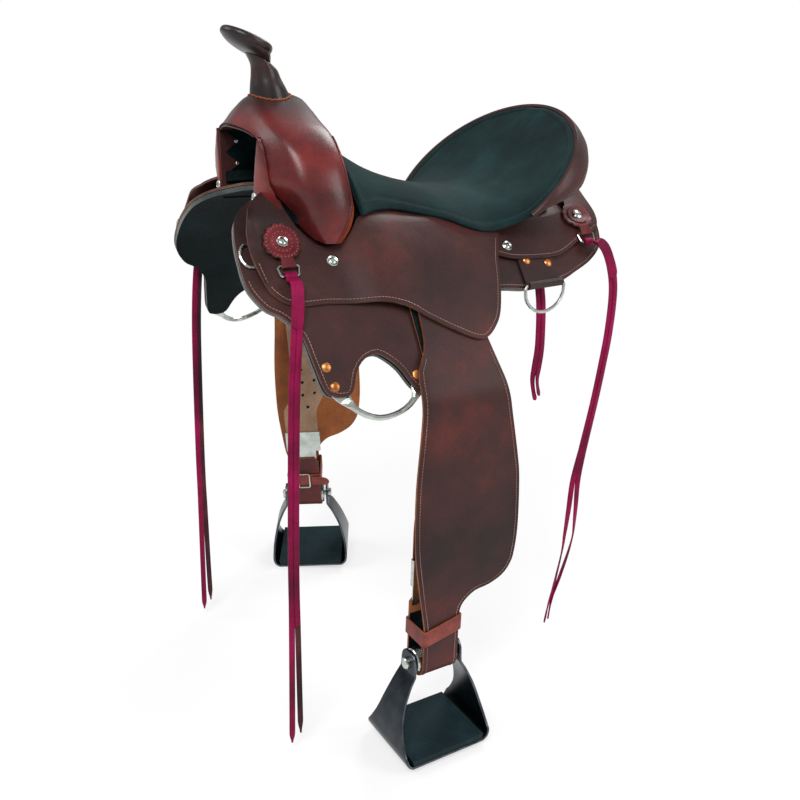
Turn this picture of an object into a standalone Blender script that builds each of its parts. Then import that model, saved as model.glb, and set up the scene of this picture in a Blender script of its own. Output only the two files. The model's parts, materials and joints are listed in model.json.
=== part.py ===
# Western trail saddle. Lengths here are millimetres and become metres as each mesh is made.
# +X runs from horn to cantle, -Y is the near (left) side and +Z is up.
# Leather pieces are cut as flat patterns: x along the saddle, s down the side from the ridge,
# d outward from the outer face of the skirt. on_side() lays a pattern point on the saddle's side.
import math

import bmesh
import bpy
from mathutils import Matrix, Vector
from mathutils.bvhtree import BVHTree

MM = 0.001
NEAR = -1
OFF = 1
SIDES = {"near": NEAR, "off": OFF}
AIR = 0.3
LAYER_GAP = 0.6

# Side of the saddle
RIDGE_Z = 45.0
FRONT_RISE = 3.0
REAR_RISE = 10.0
FRONT_TWIST = 7.0
TWIST_START_X = -85.0
TWIST_LENGTH = 225.0
SLOPES = ((0, 4), (90, 36), (150, 42), (210, 53), (400, 59))
SEAT_DIP = 42.0
DIP_ALONG = ((-180, 0), (-120, 0.2), (-85, 0.5), (0, 1), (180, 1), (240, 0.5), (300, 0))
DIP_ACROSS = ((44, 1), (66, 0.9), (88, 0.6), (110, 0.25), (132, 0))
ARC_STEPS = 24

# Leather thicknesses
SKIRT_T = 4.5
LINING_T = 7.0
JOCKEY_T = 4.0
REAR_JOCKEY_T = 3.5
FENDER_T = 3.8
STIRRUP_LEATHER_T = 2.4
COVER_T = 3.5
ROSETTE_T = 3.5
STRAP_T = 3.4
LINER_T = 2.5

# Pattern grid that all leather is cut on, so that layers bend alike
GRID_S = (22, 44, 66, 88, 110, 132, 160, 190, 220, 250, 272, 320)
GRID_X = (-262, -240, -180, -120, -85, 0, 60, 120, 180, 240)
OUTLINE_STEP = 32.0

# How far the seat jockey is lifted over the bars, by s
JOCKEY_SHOULDER = ((88, 1), (110, 0.8), (132, 0.35), (160, 0))

# Tree
BAR_T = 7.1
BAR_EXTRA = 7.0
BAR_GAP = 4.0
BAR_TAPER = ((88, 1), (110, 0.62), (132, 0.2))
BAR_INNER_S = 44.0
BAR_OUTER_S = 127.0
BAR_FRONT_X = -236.0
BAR_REAR_X = 244.0

# Leg assembly. Fender and stirrup leather hang free of the skirt below FREE_S.
LEATHER_WIDTH = 63.0
LEG_PIVOT_X = -46.0
LEG_PIVOT_S = 160.0
LEG_AXIS_ANGLE = 50.5
LEG_SPACE = 2.0
FREE_S = 372.0
BEND_LENGTH = 38.0
BEND_S = FREE_S + BEND_LENGTH
BOLT_BELOW_BEND = 396.0
STRAIGHT_BELOW_BEND = 195.0
STRAIGHT_S = BEND_S + STRAIGHT_BELOW_BEND
TONGUE_X = -50.0
TONGUE_WIDTH = 60.0
TONGUE_END_W = 98.0
TWIST_TOP_Z = -526.0
TWIST_END_Z = -569.0
NEAR_LEG = {"side": NEAR, "swing": 0.0, "hang": 89.0, "twist": 1.0}
OFF_LEG = {"side": OFF, "swing": 5.8, "hang": 83.0, "twist": 26.0}

# Roller and bolt in the loop of the fender
BOLT_R = 5.0
BOLT_CLEARANCE = 0.4
ROLLER_R = 19.0
ROLLER_GAP = 0.5
ROLLER_LENGTH = 70.0
BOLT_HEAD_R = 9.0
BOLT_HEAD_T = 6.0

# Stirrup, in its own axes: u along the bolt, v outward from the horse, w up from the bolt
STIRRUP_PLATE = 4.0
EAR_U = 41.0
STIRRUP_HALF_PATH = (
    (-EAR_U, 20, 8), (-EAR_U, 16, 13), (-EAR_U, 8, 17), (-EAR_U, -11, 19), (-EAR_U - 1, -17, 20),
    (-51, -33, 22), (-63, -61, 27), (-71, -92, 36), (-74, -116, 49), (-74, -127, 57), (-71, -136, 59),
    (-64, -142, 59),
)
TREAD_HALF_LENGTH = 64.0
TREAD_HALF_WIDTH = 58.0
TREAD_T = 9.0

# Quick-change buckle: plate on the tongue, strap end and sliding sleeve
BUCKLE_PLATE_T = 1.6
BUCKLE_PLATE_HALF = 27.0
BUCKLE_PLATE_W = (84.0, 150.0)
STRAP_END_W = 125.0
STRAP_TWIST_Z = (-388.0, -432.0)
SLEEVE_W = (117.0, 160.0)
SLEEVE_T = 1.2
SLEEVE_CLEARANCE = 0.5

# Hobble strap
HOBBLE_W = (37.0, 62.0)
HOBBLE_T = 3.0
HOBBLE_CLEARANCE = 0.8
HOBBLE_CORNER = 2.0
HOBBLE_BUCKLE_WIRE = 1.5
HOBBLE_BUCKLE_HALF = (11.0, 15.5)

# Hardware
REAR_DEE_HALF = 36.0
REAR_DEE_DROP = 42.0
REAR_DEE_WIRE = 2.6
BREAST_DEE_WIRE = 2.2
CLIP_DEE_WIRE = 1.7
CLIP_GAP = 0.9
PLATE_T = 2.4
RING_R = 4.0
STRING_R = 3.5

COLOURS = {
    "tree_wood": ((0.36, 0.24, 0.14), 0.7, 0.0),
    "leather_brown": ((0.075, 0.028, 0.024), 0.45, 0.0),
    "leather_fork": ((0.16, 0.035, 0.025), 0.38, 0.0),
    "leather_strap": ((0.2, 0.02, 0.025), 0.45, 0.0),
    "leather_black": ((0.012, 0.02, 0.02), 0.4, 0.0),
    "leather_string": ((0.22, 0.01, 0.04), 0.5, 0.0),
    "suede_black": ((0.012, 0.03, 0.03), 0.85, 0.0),
    "steel_bright": ((0.7, 0.72, 0.7), 0.25, 1.0),
    "stirrup_steel": ((0.03, 0.03, 0.035), 0.35, 1.0),
    "tread_rubber": ((0.01, 0.03, 0.035), 0.8, 0.0),
}


def smoothstep(value):
    value = min(1.0, max(0.0, value))
    return value * value * (3.0 - 2.0 * value)


def table(points, value):
    """Straight-line reading of a table of (position, value) pairs."""
    if value <= points[0][0]:
        return points[0][1]
    for (a, low), (b, high) in zip(points, points[1:]):
        if value <= b:
            return low + (high - low) * (value - a) / (b - a)
    return points[-1][1]


def seat_dip(x, s):
    return SEAT_DIP * table(DIP_ALONG, x) * table(DIP_ACROSS, s)


def slope_angle(x, s, slopes):
    twist = FRONT_TWIST * min(1.3, max(0.0, (TWIST_START_X - x) / TWIST_LENGTH))
    if s > FREE_S:
        twist = 0.0
    return math.radians(table(slopes, s) + twist * min(1.0, s / 90.0))


def on_profile(x, s, d, slopes):
    """Near-side point of the pattern for a table of slopes, in millimetres."""
    across = 0.0
    down = 0.0
    steps = ARC_STEPS if s <= FREE_S else ARC_STEPS + int((s - FREE_S) / 3.0)
    step = s / steps
    for i in range(steps):
        angle = slope_angle(x, (i + 0.5) * step, slopes)
        across += math.cos(angle) * step
        down += math.sin(angle) * step
    ridge = RIDGE_Z + FRONT_RISE * max(0.0, (-60.0 - x) / 250.0) ** 2
    ridge += REAR_RISE * max(0.0, (x - 60.0) / 240.0) ** 2
    angle = slope_angle(x, s, slopes)
    y = -across - d * math.sin(angle)
    z = ridge - seat_dip(x, s) - down + d * math.cos(angle)
    return Vector((x, y, z))


def on_side(x, s, d, side):
    point = on_profile(x, s, d, SLOPES)
    point.y *= -side
    return point


# Heights of the layers above the skirt

def bar_thickness(x):
    front = smoothstep((-60.0 - x) / 80.0)
    return BAR_T + BAR_EXTRA * front


def bar_top(x, s):
    return BAR_GAP + bar_thickness(x) * table(BAR_TAPER, s)


def leg_stack(x):
    """Room under the seat jockey for the stirrup leather and fender."""
    return smoothstep((x + 168.0) / 58.0)


def jockey_bottom(x, s):
    stack = LEG_SPACE + STIRRUP_LEATHER_T + AIR + FENDER_T + 2.2 * LAYER_GAP
    low = LAYER_GAP + AIR + stack * leg_stack(x)
    high = max(low, BAR_GAP + bar_thickness(x) + LAYER_GAP + AIR)
    dee_rise = 6.2 * smoothstep((-262.0 - x) / 12.0)
    return low + (high - low) * table(JOCKEY_SHOULDER, s) + dee_rise


def jockey_top(x, s):
    return jockey_bottom(x, s) + JOCKEY_T


def rear_jockey_bottom(x, s):
    return STRAP_T + 2.0 * LAYER_GAP


def rear_jockey_top(x, s):
    return rear_jockey_bottom(x, s) + REAR_JOCKEY_T


# Materials and meshes

def material(name):
    found = bpy.data.materials.get(name)
    if found:
        return found
    colour, roughness, metallic = COLOURS[name]
    made = bpy.data.materials.new(name)
    made.use_nodes = True
    shader = made.node_tree.nodes["Principled BSDF"]
    shader.inputs["Base Color"].default_value = (*colour, 1.0)
    shader.inputs["Roughness"].default_value = roughness
    shader.inputs["Metallic"].default_value = metallic
    made.diffuse_color = (*colour, 1.0)
    return made


def pivot_empty(name, point):
    empty = bpy.data.objects.new(name, None)
    empty.location = point * MM
    bpy.context.collection.objects.link(empty)
    return empty


def add_object(name, data, mat, pivot):
    piece = bpy.data.objects.new(name, data)
    data.materials.append(material(mat))
    bpy.context.collection.objects.link(piece)
    if pivot:
        piece.parent = pivot
    return piece


def origin_of(pivot):
    return pivot.location.copy() if pivot else Vector((0.0, 0.0, 0.0))


def add_mesh(name, points, faces, mat, pivot=None, sharp=35.0):
    """Closed mesh from points in millimetres, placed under the pivot of its joint."""
    bm = bmesh.new()
    origin = origin_of(pivot)
    verts = [bm.verts.new(p * MM - origin) for p in points]
    for face in faces:
        bm.faces.new([verts[i] for i in face])
    bmesh.ops.recalc_face_normals(bm, faces=bm.faces[:])
    bmesh.ops.triangulate(bm, faces=[f for f in bm.faces if len(f.verts) > 4])
    mesh = bpy.data.meshes.new(name)
    bm.to_mesh(mesh)
    bm.free()
    mesh.shade_smooth()
    mesh.set_sharp_from_angle(angle=math.radians(sharp))
    return add_object(name, mesh, mat, pivot)


def add_tube(name, points, radius, mat, pivot=None, closed=False, resolution=2):
    """Round bar or cord along points in millimetres."""
    origin = origin_of(pivot)
    curve = bpy.data.curves.new(name, "CURVE")
    curve.dimensions = "3D"
    curve.bevel_depth = radius * MM
    curve.bevel_resolution = resolution
    curve.use_fill_caps = not closed
    spline = curve.splines.new("POLY")
    spline.points.add(len(points) - 1)
    for place, point in zip(spline.points, points):
        place.co = (*(point * MM - origin), 1.0)
    spline.use_cyclic_u = closed
    spline.use_smooth = True
    return add_object(name, curve, mat, pivot)


def slab(name, top, bottom, mat, pivot=None, sharp=35.0):
    """Closed solid between two grids of points."""
    rows = len(top)
    columns = len(top[0])
    points = [p for row in top for p in row] + [p for row in bottom for p in row]
    under = rows * columns
    faces = []
    for i in range(rows - 1):
        n = i + 1
        for j in range(columns - 1):
            a, b, c, d = i * columns + j, i * columns + j + 1, n * columns + j + 1, n * columns + j
            faces += [(a, b, c), (a, c, d)]
            faces += [(under + c, under + b, under + a), (under + d, under + c, under + a)]
        for j in (0, columns - 1):
            a, d = i * columns + j, n * columns + j
            faces.append((a, d, under + d, under + a))
    for i in (0, rows - 1):
        for j in range(columns - 1):
            a, b = i * columns + j, i * columns + j + 1
            faces.append((a, b, under + b, under + a))
    return add_mesh(name, points, faces, mat, pivot, sharp)


def loft(name, rings, mat, pivot=None, closed=False, sharp=35.0):
    """Closed solid through rings of points. closed joins the last ring to the first."""
    count = len(rings[0])
    points = [p for ring in rings for p in ring]
    faces = []
    last = len(rings) if closed else len(rings) - 1
    for i in range(last):
        n = (i + 1) % len(rings)
        for j in range(count):
            k = (j + 1) % count
            a, b, c, d = i * count + j, i * count + k, n * count + k, n * count + j
            faces += [(a, b, c), (a, c, d)]
    if not closed:
        faces.append(tuple(range(count)))
        faces.append(tuple(range((len(rings) - 1) * count, len(rings) * count)))
    return add_mesh(name, points, faces, mat, pivot, sharp)


def grid_normals(grid):
    """Unit normals of a grid of points, from the differences between neighbours."""
    rows = len(grid)
    columns = len(grid[0])
    normals = []
    for i in range(rows):
        row = []
        for j in range(columns):
            along = grid[min(i + 1, rows - 1)][j] - grid[max(i - 1, 0)][j]
            across = grid[i][min(j + 1, columns - 1)] - grid[i][max(j - 1, 0)]
            row.append(along.cross(across).normalized())
        normals.append(row)
    return normals


def offset_grid(grid, normals, distance):
    """Grid moved along its normals. distance(i, j) is in millimetres."""
    return [[p + normals[i][j] * distance(i, j) for j, p in enumerate(row)] for i, row in enumerate(grid)]


def curve_through(points, per_span, closed=False):
    """Catmull-Rom curve through points of any dimension."""
    count = len(points)
    result = []
    spans = count if closed else count - 1
    for i in range(spans):
        if closed:
            p0, p1, p2, p3 = (points[(i + k) % count] for k in (-1, 0, 1, 2))
        else:
            p0, p1, p2, p3 = (points[min(count - 1, max(0, i + k))] for k in (-1, 0, 1, 2))
        for step in range(per_span):
            t = step / per_span
            result.append(tuple(
                0.5 * (2 * b + (c - a) * t + (2 * a - 5 * b + 4 * c - d) * t * t
                       + (3 * b - a - 3 * c + d) * t ** 3)
                for a, b, c, d in zip(p0, p1, p2, p3)))
    if not closed:
        result.append(tuple(points[-1]))
    return result


# Leather cut from a flat pattern

def pattern_outline(points):
    """Smooth closed outline. A point with a third entry is a sharp corner."""
    count = len(points)
    result = []
    for i in range(count):
        a = Vector(points[i][:2])
        b = Vector(points[(i + 1) % count][:2])
        before = Vector(points[i - 1][:2])
        after = Vector(points[(i + 2) % count][:2])
        tangent_a = (b - a) if len(points[i]) > 2 else (b - before) * 0.5
        tangent_b = (b - a) if len(points[(i + 1) % count]) > 2 else (after - a) * 0.5
        steps = max(1, round((b - a).length / OUTLINE_STEP))
        for step in range(steps):
            t = step / steps
            blend_a = 2 * t ** 3 - 3 * t ** 2 + 1
            blend_b = -2 * t ** 3 + 3 * t ** 2
            result.append(a * blend_a + b * blend_b
                          + tangent_a * (t ** 3 - 2 * t ** 2 + t) + tangent_b * (t ** 3 - t ** 2))
    return result


def cut_pattern(outline, lines_x=GRID_X, lines_s=GRID_S):
    """Flat pattern filled and cut along lines of the common grid."""
    bm = bmesh.new()
    bm.faces.new([bm.verts.new((p.x, p.y, 0.0)) for p in outline])
    for normal, places in (((1, 0, 0), lines_x), ((0, 1, 0), lines_s)):
        for place in places:
            everything = bm.verts[:] + bm.edges[:] + bm.faces[:]
            at = (place * normal[0], place * normal[1], 0.0)
            bmesh.ops.bisect_plane(bm, geom=everything, dist=1.5, plane_co=at, plane_no=normal)
    bmesh.ops.triangulate(bm, faces=bm.faces[:], quad_method="SHORT_EDGE", ngon_method="BEAUTY")
    return bm


def sheet(name, bm, low, high, mat, pivot=None):
    """Closed sheet from a filled pattern. low(x, s) and high(x, s) place its two faces."""
    bm.verts.index_update()
    flat = [v.co.copy() for v in bm.verts]
    points = [low(p.x, p.y) for p in flat] + [high(p.x, p.y) for p in flat]
    count = len(flat)
    faces = []
    for face in bm.faces:
        corners = [v.index for v in face.verts]
        faces.append(tuple(corners))
        faces.append(tuple(count + i for i in reversed(corners)))
    for edge in bm.edges:
        if edge.is_boundary:
            a, b = (v.index for v in edge.verts)
            faces.append((a, b, count + b, count + a))
    bm.free()
    add_mesh(name, points, faces, mat, pivot, 50.0)


def leather(name, outline, bottom, thickness, mat, side, smooth=True):
    """Sheet of leather on the saddle's side. bottom(x, s) is the height of its lower face."""
    bm = cut_pattern(pattern_outline(outline) if smooth else [Vector(p) for p in outline])
    sheet(name, bm, lambda x, s: on_side(x, s, bottom(x, s), side),
          lambda x, s: on_side(x, s, bottom(x, s) + thickness, side), mat)


# Tree: two bars, fork, cantle board and ground seat

def make_bar(name, side):
    outline = [
        (BAR_FRONT_X, 52, 0), (-150, BAR_INNER_S), (0, BAR_INNER_S), (150, BAR_INNER_S),
        (BAR_REAR_X, 48, 0), (BAR_REAR_X + 4, 80), (230, 112), (180, 124), (60, 116), (-60, 114),
        (-150, BAR_OUTER_S - 2), (-215, 118), (BAR_FRONT_X - 2, 86),
    ]
    sheet(name, cut_pattern(pattern_outline(outline)), lambda x, s: on_side(x, s, BAR_GAP, side),
          lambda x, s: on_side(x, s, bar_top(x, s), side), "tree_wood")


# Arch stations of the fork from its middle to its near foot:
# outer (y, z), outer front x and rear x, inner (y, z) or the s of a foot on the bar, its front x and rear x
FORK_STATIONS = (
    ((0, 160), -254, -135, (0, 120), -254, -148),
    ((36, 148), -253, -135, (28, 118), -250, -148),
    ((70, 133), -250, -136, (52, 114), -246, -146),
    ((100, 117), -246, -132, (73, 106), -242, -144),
    ((122, 98), -242, -127, (85, 92), -239, -140),
    ((137, 76), -238, -121, (92, 70), -238, -136),
    ((146, 52), -236, -119, (96, 49), -236, -130),
    ((150, 30), -227, -119, 110, -203, -124),
    ((152, 10), -216, -124, 121, -202, -126),
    ((151, -8), -203, -133, 132, -195, -131),
    ((150, -22), -188, -146, 147, -184, -147),
)
# Cross-section of the fork as (across, out), over the gullet and at the swells
CROWN_SECTION = (
    (0.0, 0.0), (0.06, 0.16), (0.13, 0.42), (0.2, 0.74), (0.3, 0.93), (0.5, 1.0), (0.7, 0.99),
    (0.84, 0.92), (0.94, 0.77), (1.0, 0.48), (1.0, 0.18), (0.97, 0.0),
)
SWELL_SECTION = (
    (0.0, 0.0), (0.06, 0.2), (0.12, 0.46), (0.2, 0.76), (0.3, 0.93), (0.48, 1.0), (0.64, 1.0),
    (0.76, 0.93), (0.86, 0.77), (0.94, 0.51), (0.99, 0.22), (1.0, 0.0),
)
SWELL_STATION = 5.0
LINER_STATIONS = 5
EDGE_SHARE = 1.15


def fork_base(inner, x):
    if isinstance(inner, tuple):
        return Vector((x, *inner))
    return on_side(x, inner, bar_top(x, inner) + LAYER_GAP + AIR, OFF)


def fork_grid():
    half = []
    for i, (outer, front_out, rear_out, inner, front_in, rear_in) in enumerate(FORK_STATIONS):
        front_base = fork_base(inner, front_in)
        rear_base = fork_base(inner, rear_in)
        row = []
        swell = min(1.0, i / SWELL_STATION)
        for crown_point, swell_point in zip(CROWN_SECTION, SWELL_SECTION):
            across, out = Vector(crown_point).lerp(Vector(swell_point), swell)
            crest = Vector((front_out + (rear_out - front_out) * across, *outer))
            row.append(front_base.lerp(rear_base, across).lerp(crest, out))
        half.append(row)
    mirrored = [[Vector((p.x, -p.y, p.z)) for p in row] for row in half[:0:-1]]
    return mirrored + half


def make_fork():
    outer = fork_grid()
    normals = grid_normals(outer)
    middle = len(outer) // 2
    sign = -1.0 if normals[middle][5].z > 0 else 1.0
    inner = []
    block = []
    for grid, depth in ((inner, COVER_T), (block, COVER_T + AIR)):
        grid += offset_grid(outer, normals, lambda i, j: sign * depth)
        for row, shell in zip(grid, outer):
            along = (shell[-1] - shell[0]).normalized()
            row[0] = shell[0] + along * depth * EDGE_SHARE
            row[-1] = shell[-1] - along * depth * EDGE_SHARE
    slab("fork_cover", outer, inner, "leather_fork")
    loft("fork_block", block, "tree_wood")
    top = []
    bottom = []
    for row in outer[middle - LINER_STATIONS:middle + LINER_STATIONS + 1]:
        front = row[0]
        rear = row[-1]
        line = [front.lerp(rear, stop) for stop in (0.03, 0.36, 0.68, 0.97)]
        inward = Vector((0.0, -front.y, 60.0 - front.z)).normalized()
        top.append([p + inward * LAYER_GAP for p in line])
        bottom.append([p + inward * (LAYER_GAP + LINER_T) for p in line])
    slab("gullet_liner", top, bottom, "leather_black")
    return outer


def surface_under(grid):
    """Function that gives the height of a grid's surface below a point."""
    columns = len(grid[0])
    faces = []
    for i in range(len(grid) - 1):
        for j in range(columns - 1):
            a, b = i * columns + j, i * columns + j + 1
            faces += [(a, b, b + columns), (a, b + columns, a + columns)]
    tree = BVHTree.FromPolygons([p for row in grid for p in row], faces)

    def height(x, y):
        return tree.ray_cast(Vector((x, y, 400.0)), Vector((0.0, 0.0, -1.0)))[0].z

    return height


# Horn. The neck's rings are (x, z, radius, lean) and its foot lies on the cover.
# The cap's rings are (share of its radius, height as a share of its thickness, shift to the rear).
HORN_CAP_CENTRE = Vector((-225, 0, 226))
HORN_CAP_TILT = 21.0
HORN_CAP_LENGTH = 74.0
HORN_CAP_WIDTH = 68.0
HORN_CAP_T = 15.0
HORN_CAP_PROFILE = (
    (0.5, -1.0, 23), (0.72, -0.87, 13), (0.88, -0.62, 6), (0.97, -0.3, 1), (1.0, 0.0, 0), (0.96, 0.3, 0),
    (0.8, 0.46, 0), (0.45, 0.56, 0),
)
HORN_FOOT_RADII = (1.0, 10.0, 19.0, 27.0)
HORN_FOOT_GAP = 1.1
HORN_NECK = ((-195, 168, 24.5, 3), (-198, 181, 20.5, 6), (-201, 193, 18.5, 11))
HORN_NECK_TOP_R = 18.0
HORN_SIDES = 20


def circle(centre, across, along, width, length):
    turns = [2 * math.pi * k / HORN_SIDES for k in range(HORN_SIDES)]
    return [centre + along * (length * math.cos(a)) + across * (width * math.sin(a)) for a in turns]


def make_horn(cover):
    height = surface_under(cover)
    side = Vector((0, 1, 0))
    tilt = math.radians(HORN_CAP_TILT)
    up = Vector((math.sin(tilt), 0, math.cos(tilt)))
    rear = Vector((math.cos(tilt), 0, -math.sin(tilt)))
    rings = []
    for radius in HORN_FOOT_RADII:
        ring = circle(Vector((HORN_NECK[0][0] + 2, 0, 0)), side, Vector((1, 0, 0)), radius, radius)
        for point in ring:
            point.z = height(point.x, point.y) + HORN_FOOT_GAP
        rings.append(ring)
    for x, z, radius, lean in HORN_NECK:
        turn = math.radians(lean)
        along = Vector((math.cos(turn), 0, -math.sin(turn)))
        rings.append(circle(Vector((x, 0, z)), side, along, radius, radius))
    _, lowest, shift = HORN_CAP_PROFILE[0]
    under_cap = HORN_CAP_CENTRE + up * (HORN_CAP_T * lowest - AIR) + rear * shift
    rings.append(circle(under_cap, side, rear, HORN_NECK_TOP_R, HORN_NECK_TOP_R))
    loft("horn_neck", rings, "leather_brown")
    rings = [circle(HORN_CAP_CENTRE + up * (lift * HORN_CAP_T) + rear * shift, side, rear,
                    0.5 * HORN_CAP_WIDTH * share, 0.5 * HORN_CAP_LENGTH * share)
             for share, lift, shift in HORN_CAP_PROFILE]
    loft("horn_cap", rings, "leather_brown")


# Cantle rim: an ellipse in a leaning plane
RIM_CENTRE = Vector((168, 0, 39))
RIM_HEIGHT = 150.5
RIM_HALF_WIDTH = 183.0
RIM_LEAN = 45.3
BAND_DEPTH = 38.0
BAND_T = 5.5
CUSHION_T = 11.0
CUSHION_EDGE_T = 5.0
CUSHION_EDGE_GAP = 2.0


def rim_point(angle, outward=0.0, back=0.0):
    """Point on the rim, angle in degrees from its top, positive to the off side."""
    lean = math.radians(RIM_LEAN)
    a = math.radians(angle)
    up = Vector((math.cos(lean), 0, math.sin(lean)))
    behind = Vector((math.sin(lean), 0, -math.cos(lean)))
    normal = Vector((math.cos(a) / RIM_HEIGHT, math.sin(a) / RIM_HALF_WIDTH, 0)).normalized()
    point = RIM_CENTRE + up * (RIM_HEIGHT * math.cos(a)) + Vector((0, RIM_HALF_WIDTH * math.sin(a), 0))
    return point + (up * normal.x + Vector((0, normal.y, 0))) * outward + behind * back


# Seat rows from fork to cantle: middle (x, z), edge and its kind, and how flat the middle is.
# From FIRST_RIM_ROW on, the middle is a share of RIM_HEIGHT and a depth behind the rim's plane.
SEAT_ROWS = (
    ((-121, 97), (-110, 124), 2.6),
    ((-95, 80), (-86, 112), 2.6),
    ((-60, 62), (-56, 105), 2.6),
    ((-18, 47), (-20, 115), 2.7),
    ((24, 37), (20, 138), 3.0),
    ((62, 30), (58, 157), 3.0),
    ((97, 27), (92, 163), 3.0),
    ((-0.262, -21.4), 109, 2.4),
    ((-0.117, -7.9), 98, 2.3),
    ((0.061, 2.2), 86, 2.2),
    ((0.272, 5.9), 70, 2.2),
    ((0.484, 5.3), 52, 2.2),
    ((0.695, 2.0), 34, 2.2),
    ((0.864, -0.7), 17, 2.2),
    ((0.982, -1.4), 5, 2.2),
)
SEAT_COLUMNS = (0.0, 0.22, 0.42, 0.6, 0.76, 0.88, 0.94, 1.0)
FIRST_RIM_ROW = 7
GROUND_SEAT_T = 4.0
BOARD_FIRST_ROW = 8
BOARD_DEPTHS = (8.0, 14.0, 20.0, 24.0, 26.0, 26.0, 26.0)
BACK_T = 3.0


def seat_edge(row):
    edge = row[1]
    if isinstance(edge, tuple):
        x, s = edge
        return on_side(x, s, jockey_top(x, s) + LAYER_GAP + CUSHION_EDGE_T, OFF)
    return rim_point(edge)


def rim_middle(share, back):
    lean = math.radians(RIM_LEAN)
    up = Vector((math.cos(lean), 0, math.sin(lean)))
    behind = Vector((math.sin(lean), 0, -math.cos(lean)))
    point = RIM_CENTRE + up * (RIM_HEIGHT * share) + behind * back
    return point.x, point.z


def seat_grid():
    grid = []
    for i, row in enumerate(SEAT_ROWS):
        middle, _, power = row
        x, z = rim_middle(*middle) if i >= FIRST_RIM_ROW else middle
        edge = seat_edge(row)
        half = []
        for t in SEAT_COLUMNS:
            half.append(Vector((x + (edge.x - x) * t * t, edge.y * t, z + (edge.z - z) * t ** power)))
        grid.append([Vector((p.x, -p.y, p.z)) for p in half[:0:-1]] + half)
    return grid


def make_seat():
    top = seat_grid()
    normals = grid_normals(top)
    middle = len(top[0]) // 2
    sign = -1.0 if normals[3][middle].z > 0 else 1.0
    share = [abs(j - middle) for j in range(len(top[0]))]
    groove = len(SEAT_COLUMNS) - 2

    def thick(i, j):
        return sign * (CUSHION_T + (CUSHION_EDGE_T - CUSHION_T) * SEAT_COLUMNS[share[j]] ** 3)

    bottom = offset_grid(top, normals, thick)
    for i, row in enumerate(SEAT_ROWS[:FIRST_RIM_ROW]):
        x, s = row[1]
        for j, side in ((0, NEAR), (len(top[0]) - 1, OFF)):
            bottom[i][j] = on_side(x, s, jockey_top(x, s) + CUSHION_EDGE_GAP, side)
    for i in range(FIRST_RIM_ROW, len(SEAT_ROWS)):
        angle = SEAT_ROWS[i][1]
        bottom[i][0] = rim_point(-angle, 0.0, CUSHION_EDGE_T)
        bottom[i][-1] = rim_point(angle, 0.0, CUSHION_EDGE_T)
    crowned = offset_grid(top, normals, lambda i, j: sign * (1.6 if share[j] == groove else 0.0))
    slab("seat_cushion", crowned, bottom, "suede_black")
    return bottom, normals, sign


def make_under_seat(cushion_bottom, normals, sign):
    last = len(cushion_bottom[0]) - 1
    columns = range(4, last - 3)
    rows = range(0, 9)
    top = [[cushion_bottom[i][j] + normals[i][j] * sign * LAYER_GAP for j in columns] for i in rows]
    low = [[cushion_bottom[i][j] + normals[i][j] * sign * (LAYER_GAP + GROUND_SEAT_T) for j in columns]
           for i in rows]
    slab("ground_seat", top, low, "leather_brown")
    lean = math.radians(RIM_LEAN)
    behind = Vector((math.sin(lean), 0, -math.cos(lean)))
    columns = range(1, last)
    board_top = []
    board_low = []
    back_low = []
    for i, reach in enumerate(BOARD_DEPTHS, BOARD_FIRST_ROW):
        first = LAYER_GAP + (GROUND_SEAT_T + 1.0 if i == BOARD_FIRST_ROW else 0.0)
        board_top.append([cushion_bottom[i][j] + behind * first for j in columns])
        board_low.append([cushion_bottom[i][j] + behind * (LAYER_GAP + reach) for j in columns])
        back_low.append([p + behind * (LAYER_GAP + BACK_T) for p in board_low[-1]])
    slab("cantle_board", board_top, board_low, "tree_wood")
    back_top = [[p + behind * LAYER_GAP for p in row] for row in board_low]
    slab("cantle_back", back_top[1:], back_low[1:], "leather_brown")


def make_band():
    top = []
    bottom = []
    for k in range(-13, 14):
        angle = k * 8.2
        depth = BAND_DEPTH * (1.0 - 0.85 * smoothstep((abs(angle) - 70.0) / 38.0))
        stops = (-1.0, 0.12 * depth, 0.5 * depth, 0.88 * depth, depth)
        bulge = (0.0, 1.5, 2.5, 1.5, -1.5)
        top.append([rim_point(angle, AIR + LAYER_GAP + BAND_T + b, stop) for stop, b in zip(stops, bulge)])
        bottom.append([rim_point(angle, AIR + LAYER_GAP, stop) for stop in stops])
    slab("cantle_band", top, bottom, "leather_brown")


# Side leather
SKIRT_OUTLINE = (
    (-217, 49, 0), (-256, 73), (-278, 96), (-287, 119), (-292, 154), (-290, 198), (-273, 229),
    (-252, 245), (-233, 271), (-226, 305), (-218, 346), (-209, 356), (-194, 360), (-182, 356),
    (-170, 330), (-156, 316), (-138, 312), (-123, 323), (-111, 338), (-104, 353), (-96, 367),
    (-85, 371), (-76, 362), (-66, 320), (-40, 268), (20, 246), (87, 244), (135, 249), (199, 243),
    (228, 234), (261, 221), (287, 202), (299, 176), (303, 140), (302, 90), (298, 40), (294, 7, 0),
    (250, 7, 0), (238, 30), (200, 44), (60, 44), (-100, 44), (-180, 44),
)
PLATE_PATH = (
    (-204, 336, 11), (-199, 316, 11), (-180, 299, 11), (-146, 291, 11), (-110, 302, 11), (-90, 325, 10),
    (-87, 350, 9.5), (-91, 368, 9), (-99, 381, 4), (-114, 391, 4), (-132, 396, 4), (-151, 396, 4),
    (-169, 388, 4), (-183, 375, 4), (-192, 362, 9), (-200, 350, 10),
)
REAR_JOCKEY_OUTLINE = (
    (84, 146, 0), (84, 186), (104, 199), (126, 204), (162, 207), (198, 207), (221, 200), (245, 189),
    (266, 180), (290, 172), (300, 148), (298, 110), (296, 60), (292, 8, 0), (262, 8, 0), (252, 50),
    (258, 110), (236, 134), (180, 142),
)
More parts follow.
